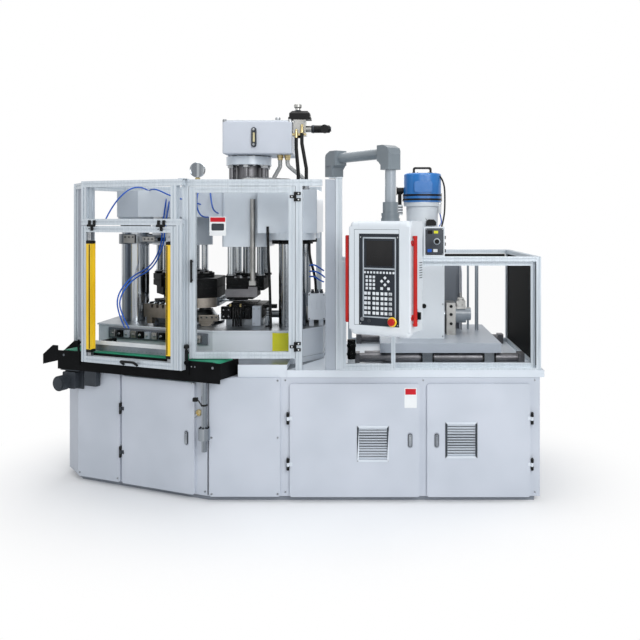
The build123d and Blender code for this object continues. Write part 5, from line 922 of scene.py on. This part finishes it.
def add_press_tubes():
    """Air lines of blue polyurethane and black rubber hoses about the presses."""
    lines("blue_air_lines", "machine", "black_plastic", "blue_tube", 5, [
        [(-537, -300, 1752), (-500, -270, 1850), (-420, -180, 1962), (-363, -60, 1975), (-340, 0, 1948)],
        [(-300, -120, 1948), (-250, -200, 1965), (-120, -215, 1900), (20, -200, 1868), (60, -160, 1850)],
        [(45, -152, 1944), (50, -240, 1890), (60, -260, 1810), (90, -235, 1760), (110, -150, 1764)],
        [(125, -152, 1930), (150, -235, 1850), (170, -245, 1800), (180, -160, 1790)],
        [(-180, -128, 1900), (-200, -170, 1700), (-215, -120, 1577), (-285, -130, 1420), (-390, -220, 1370),
         (-470, -300, 1240), (-440, -330, 1110), (-400, -330, 1031)],
        [(-160, -130, 1880), (-180, -180, 1690), (-196, -130, 1577), (-268, -150, 1405), (-380, -245, 1350),
         (-450, -320, 1220), (-410, -350, 1110), (-370, -340, 1031)],
        [(812, -250, 1440), (840, -290, 1452), (880, -280, 1425), (905, -246, 1405)],
        [(812, -250, 1365), (845, -285, 1372), (885, -280, 1340), (905, -246, 1330)],
        [(812, -250, 1400), (850, -300, 1408), (900, -300, 1380), (912, -246, 1360)],
    ])
    lines("black_press_hoses", "machine", "black_plastic", "black_hose", 9, [
        [(800, -150, 1657), (806, -230, 1600), (812, -262, 1500), (840, -262, 1400), (850, -220, 1330),
         (850, -200, 1251)],
        [(540, -322, 1700), (546, -345, 1560), (556, -330, 1300), (560, -330, 1120), (562, -330, 1031)],
    ])


def add_valve_pieces():
    """Screws, caps, nuts and fittings on the valve group, tank and neck."""
    trim = Piece("tank_fittings", "machine", "bright_steel")
    x, y = 740, -170
    for dx in (-34, 34):
        for dz in (2344, 2410):
            trim.screw((x + dx, y - 38, dz), OUT, 5)
    trim.turned((x - 15, y, 2484), UP, [(24, 0), (24, 6), (17, 9)], "dark_chrome", 6)
    trim.rod((x + 84, y, 2363), (x + 96, y, 2363), 28.5, "dark_chrome", 28)
    trim.rod((x + 196, y, 2363), (x + 212, y, 2363), 17, "dark_chrome", 24)
    trim.block(x - 30, x + 6, y - 30, y - 4, 2300, 2317, "black_paint", 1)
    z = 2301
    trim.block(429.5, 442.5, -243.6, -236.4, z - 33, z + 33, "sight_glass", 0.4, 6)
    for dz in (-56, 56):
        trim.turned((436, -251, z + dz * 0.9), OUT, [(9, 0), (9, 4), (7, 6)], "zinc", 6)
    filler = [(52, 0), (52, 10), (48, 14), (30, 14), (30, 24), (26, 27)]
    breather = [(22, 0), (22, 12), (15, 14), (15, 40), (19, 44), (19, 58), (14, 62)]
    trim.turned((300, -40, TANK_LID), UP, filler, "black_plastic", 32)
    trim.turned((560, 60, TANK_LID), UP, breather, "zinc", 24)
    for sy in (-216, 156):
        for sx in (236, 676):
            trim.turned((sx, sy, 2404), UP, [(15, 0), (15, 14), (11, 20), (6, 20), (6, 16)], "zinc", 20)
    bolt_circle, nut_circle = 142, 128
    for px, py in circle(PRESS_X, 0, bolt_circle, 16, 0, 22.5):
        trim.screw((px, py, NECK_FLANGE[1]), UP, 8)
        trim.turned((px, py, NECK_FLANGE[0]), DOWN, [(9, 0), (9, 8), (7, 10)], "zinc", 6)
    for px, py in circle(PRESS_X, 0, nut_circle, 6, 30, 60):
        trim.turned((px, py, CASTING_TOP), UP, [(30, 0), (30, 20), (27, 24)], "zinc", 6)
        trim.turned((px, py, NECK_FLANGE[0] - 1), DOWN, [(28, 0), (28, 18), (25, 21)], "zinc", 6)
    for px in (600, 650):
        trim.turned((px, -130, 2190), DOWN, [(22, 0), (22, 16), (18, 18), (18, 34), (16, 36)], "brass", 6)
    riser = [(22, 0), (22, 14), (18, 16), (18, 40), (15.5, 42)]
    for px, py, key in ((560, -160, "zinc"), (760, -140, "zinc"), (700, -190, "zinc"), (754, -232, "zinc"),
                        (788, -232, "zinc"), (336, -160, "brass")):
        trim.turned((px, py, CASTING_TOP), UP, riser, key, 6)
    trim.done()


def add_loader_pieces():
    """Fittings and lines of the loader, its control box and the barrel cover."""
    head = Piece("loader_fittings", "carriage", "loader_blue")
    x = LOADER_X
    screw_circle = 96
    for px, py in circle(x, 0, screw_circle, 8, 22.5, 45):
        head.screw((px, py, LOADER_TOP), UP, 5, "black_plastic")
    for side in (-1, 1):
        head.block(x + side * 60 - 12, x + side * 60 + 12, -17, 17, 2067, 2078, "black_plastic", 1.5, 3)
        head.block(x + side * 133 - 6, x + side * 133 + 6, -18, 18, 1874, 1934, "zinc", 1.5)
    head.block(x - 62, x + 62, -136.5, -134.2, 1935, 2010, "blue", 0.8, 14)
    head.rod((x + 118, -60, 1790), (x + 118, -60, 1852), 12, "white_plastic")
    head.turned((x + 118, -60, 1852), UP, [(14, 0), (14, 14), (8, 16)], "zinc", 6)
    for z in (1790, 1810, 1830):
        head.turned((x - 157, 0, z), UP, [(20.8, 0), (20.8, 8)], "grey_plastic", 24)
    head.done()
    lines("loader_lines", "carriage", "black_plastic", "blue_tube", 4.5, [
        [(x + 118, -60, 1795), (x + 130, -90, 1740), (x + 118, -150, 1715), (x + 100, -260, 1705)],
    ])
    lines("loader_cable", "carriage", "black_plastic", "black_hose", 6, [
        [(x + 92, -60, 2067), (x + 150, -80, 2040), (x + 150, -120, 1820), (x + 128, -230, 1740),
         (x + 112, -285, 1700)],
    ])
    box = Piece("loader_box_face", "carriage", "face_film")
    front = -312
    box.block(1583, 1704, front - 1.4, front + 0.2, 1512, 1690, "dark_chrome", 0.6, 5)
    box.turned((1660, front - 1, 1602), OUT, [(22, 0), (22, 2), (20, 3)], "silver_film", 28)
    for x0, x1, z0, z1, key, edge in (
        (1598, 1630, 1652, 1676, "screen", 0.5), (1640, 1668, 1655, 1673, "label_yellow", 0.4),
        (1598, 1626, 1532, 1552, "blue_tube", 0.4), (1636, 1664, 1532, 1552, "white_plastic", 0.4),
    ):
        box.block(x0, x1, front - 3, front - 1, z0, z1, key, edge, 2)
    for pz in (1518, 1684):
        for px in (1589, 1698):
            box.screw((px, front - 1.4, pz), OUT, 3.4)
    for n in range(3):
        box.rod((1720, -290, 1540 + 44 * n), (1711.8, -290, 1540 + 44 * n), 11, "black_plastic")
    box.done()
    cover = Piece("cover_fittings", "carriage", "pendant_white")
    cover.turned((1579, COVER_FRONT, 1168), OUT, [(15, 0), (15, 8), (12, 11), (5, 11), (5, 7)],
                 "black_plastic", 24)
    for px in (1430, 1704):
        for pz in (965, 1180, 1440):
            cover.screw((px, COVER_FRONT, pz), OUT, 5)
    cover.block(1440, 1520, COVER_FRONT - 1.4, COVER_FRONT, 1330, 1410, "silver_film", 0.4, 3)
    for n in range(8):
        cover.block(1710, 1716.8, -150 + 40 * n, -124 + 40 * n, 1360, 1372, "grey_plastic", 0.3)
    cover.done()


def add_press_pieces():
    """Nuts and bolts of the platens, the manifold and hoses before the lower mould, and the left air unit."""
    for index, body in ((0, "injection_press"), (1, "blow_press")):
        nuts = Piece(body + "_nuts", body, "blackened", station_place(index))
        for x in (266, 466):
            for y in (-140, 140):
                nuts.turned((x, y, PLATEN_TOP), UP, [(40, 0), (40, 12), (36, 15)], "black_steel", 6)
                nuts.turned((x, y, PLATEN_TOP + 14), UP, [(31, 0), (31, 10), (28, 12)], "zinc", 24)
        for x, y in ((300, -172), (340, -172), (392, -172), (432, -172),
                     (316, 60), (316, -60), (416, 60), (416, -60)):
            nuts.screw((x, y, PLATEN_TOP), UP, 9)
        nuts.turned((PRESS_X, 0, PLATEN_TOP), UP, [(66, 0), (66, 18), (60, 22)], "black_steel", 32)
        nuts.done()
    block = Piece("mould_manifold", "machine", "blackened")
    for x0, x1, front, z1 in ((214, 284, -238, 1160), (290, 366, -222, 1172), (372, 412, -236, 1150)):
        block.block(x0, x1, front, -191, 1076, z1, "black_steel", 1.5)
    block.block(424, 480, -232, -178, 1032, 1162, "mid_sheet", 1.2)
    for x0, x1, z0, z1 in ((497, 588, 1150, 1176), (520, 546, 1032, 1150)):
        block.block(x0, x1, -236, -196, z0, z1, "black_steel", 1.5)
    for x in (275, 343):
        block.turned((x, -215, 1158), UP, [(10, 0), (10, 10), (7, 12), (7, 20)], "brass", 6)
    for x, z in ((232, 1140), (266, 1140), (232, 1096), (266, 1096), (436, 1146), (468, 1146), (436, 1048)):
        block.screw((x, -238 if x < 300 else -232, z), OUT, 5)
    block.turned((531, -250, 1040), UP, [(17, 0), (17, 58), (14, 62), (6, 62), (6, 84)], "chrome", 24)
    for z in (1106, 1124, 1142):
        block.turned((533, -250, z), UP, [(9, 0), (15, 5), (15, 9), (9, 14)], "zinc", 20)
    block.block(516, 550, -268, -236, 1031, 1040, "black_steel", 1)
    for x0, x1, z0, z1 in ((66, 196, 1064, 1104), (66, 164, 1046, 1064), (80, 150, 1031, 1046)):
        block.block(x0, x1, -244, -204, z0, z1, "warm_steel", 1.5)
    for x in (84, 120, 156, 184):
        block.screw((x, -244, 1090), OUT, 6, "dark_chrome")
    block.done()
    lines("mould_hoses", "machine", "black_plastic", "black_hose", 7, [
        [(300 + 17 * n, -222, 1160 - 6 * n), (298 + 17 * n, -262 - 4 * n, 1150), (304 + 16 * n, -262, 1080),
         (296 + 18 * n, -236, 1031)] for n in range(4)
    ])
    left = Piece("air_unit", "machine", "bright_steel")
    left.block(-502, -424, -52, -15, 1584, 1640, "bright", 1.5)
    left.block(-372, -286, -46, -20, 1594, 1628, "bright", 1.5)
    left.block(-268, -214, -44, -22, 1596, 1622, "black_paint", 1.5)
    left.rod((-290, -33, 1609), (-264, -33, 1609), 8, "zinc")
    for places, y, z in (((-490, -463, -436), -52, 1625), ((-356, -330, -304), -46, 1611)):
        for x in places:
            left.screw((x, y, z), OUT, 5.5, "dark_chrome")
    left.done()


def add_conveyor_pieces():
    """Valve row behind the belt, bracket knob, screws, cabinet lock, and clip of the support post."""
    row = Piece("valve_row", "machine", "blackened", FACE_PLACE)
    row.block(-930, -120, 169, 176, 936, 1010, "dark_sheet", 1)
    for n in range(13):
        x = -900 + 58 * n
        row.block(x, x + 40, 150, 169.2, 950, 996, ("bright", "black_steel", "mid_sheet")[n % 3], 1.2, 3)
        row.turned((x + 20, 150, 974), OUT, [(9, 0), (9, 5), (6, 7), (6, 12)], "zinc", 12)
    row.turned((-300, 150, 952), OUT, [(7, 0), (7, 6), (5, 8)], "red", 16)
    row.block(-109, -97, -84, -66, 882, 944, "black_plastic", 1)
    row.turned((-104, -76, 944), UP, [(7, 0), (7, 8), (17, 12), (17, 28), (11, 34)],
               "black_plastic", 20)
    for u in (26, 110):
        row.screw((-u, 0, 690), OUT, 5)
    for z in (862, 762):
        for x in (-12, 12):
            row.screw((x, -151, z), OUT, 3.6)
    row.turned((-64, 0, 545), OUT, [(21, 0), (21, 8), (17, 12), (13, 12), (13, 5)], "brass", 28)
    row.turned((-74, -7, 536), (-0.75, 0, -0.66), [(7, 0), (9, 6), (9, 44), (6, 50)], "zinc", 16)
    row.done()
    post = Piece("post_clip", "machine", "black_plastic")
    post.turned((*POST_AT, 604), UP, [(20, 0), (20.5, 2), (20.5, 8), (20, 10)], "black_plastic", 24)
    post.block(132, 164, -700, -680, 632, 656, "black_plastic", 1.5, 5)
    post.rod((166, -692, 640), (186, -695, 610), 4, "black_plastic", 10)
    for px, py in circle(*POST_AT, 27, 6, 30, 60):
        post.turned((px, py, 470), UP, [(6, 0), (6, 3), (4, 4)], "black_steel", 12)
    post.done()


def add_frame_pieces():
    """Hinge and box screws, gaskets, glands, cylinder under the slab, painted shade in the manifold holes, tank lid
    and arm collar.
    """
    for body, x, heights in (("centre_door", 735, (960, 1890)),
                             ("machine", 776, (941, 979, 1871, 1909))):
        hinge = Piece(body + "_hinge_screws", body, "anodised")
        for z in heights:
            hinge.screw((x, -645, z), OUT, 5, "label_white")
        hinge.done()
    trim = Piece("frame_gaskets", "machine", "black_plastic")
    trim.block(2243, 2248, -641.2, -639.8, 846, 1484, "black_plastic", 0.3)
    for x in (1380, 1800):
        trim.block(x, x + 8, 446, 449.9, 860, 1486, "black_plastic", 0.5)
    trim.block(1060, 2240, 444, 450, 1464, 1486, "black_plastic", 0.5)
    for z in (1083, 1242):
        for x in (808, 907):
            trim.screw((x, -245, z), OUT, 4, "black_plastic")
    for x in (828, 858, 888):
        trim.turned((x, -206, 1250), UP, [(12, 0), (12, 12), (9, 14), (9, 26)], "grey_plastic", 6)
    trim.done()
    pull = Piece("pull_in_cylinder", "machine", "hard_chrome")
    y, z = -262, 850
    pull.rod((1180, y, z), (1960, y, z), 20, "bar_steel", 28)
    pull.rod((1340, y, z), (1760, y, z), 30, "dark_sheet", 32)
    for x in (1330, 1752):
        pull.block(x, x + 20, y - 36, y + 36, z - 34, z + 34, "black_paint", 1.5)
    pull.done()
    head = Piece("manifold_hole_painted_shade", "carriage", "bright_steel")
    # Painted shade: black discs stand in for the dark inside of the three ports
    for z in (1090, 1146, 1026):
        head.turned((1777, -85, z), OUT, [(11, 0), (11, 1.6), (8, 2), (8, 0.6)], "black_plastic", 20)
    head.done()
    lid = Piece("tank_lid", "machine", "table_paint")
    lid.block(228, 686, -224, 164, TANK_LID, TANK_LID + 6, "white", 1.2)
    lid.done()
    ring = Piece("post_collar", "arm", "arm_grey")
    ring.turned((*ARM_FOOT, 2074), UP, [(50, 0), (52, 2), (52, 9), (50, 11)], "dark_sheet", 36)
    ring.done()


def add_gauge_pieces():
    """Bezel, back, connector, scale dots and glass of the pressure gauge."""
    trim = Piece("gauge_bezel", "machine", "bright_steel")
    x, z, front = 146, 2056, -636
    rim = [(45, -6), (47, -4), (47, 1), (44, 3.5), (39.5, 1), (39.5, 0)]
    trim.turned((x, front - 0.5, z), OUT, rim, "chrome", 40)
    trim.turned((x, -620, z), (0, 1, 0), [(43, 12), (43, 15), (20, 17)], "dark_chrome", 32)
    trim.turned((x, -620, 1998), UP, [(16, 0), (16, 10), (12, 12)], "brass", 6)
    for px, pz in circle(x, z, 32, 11, 225, -27):
        trim.turned((px, front + 5.8, pz), OUT, [(1.8, 0), (1.8, 0.8)], "black_plastic", 8)
    trim.done()
    glass = Piece("gauge_glass", "machine", "tinted")
    glass.turned((x, front + 0.6, z), OUT, [(39.4, 0), (39.4, 1.2)], "clear", 40)
    glass.done()


set_camera()
set_stage()
dress_nodes()
add_pendant_pieces()
add_signs()
add_base_pieces()
add_curtain_pieces()
add_press_tubes()
add_valve_pieces()
add_loader_pieces()
add_gauge_pieces()
add_press_pieces()
add_conveyor_pieces()
add_frame_pieces()

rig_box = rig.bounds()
with open("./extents.json", "w") as out:
    json.dump({"cad": [list(v) for v in cad_box], "visual": [list(v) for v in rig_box]}, out)
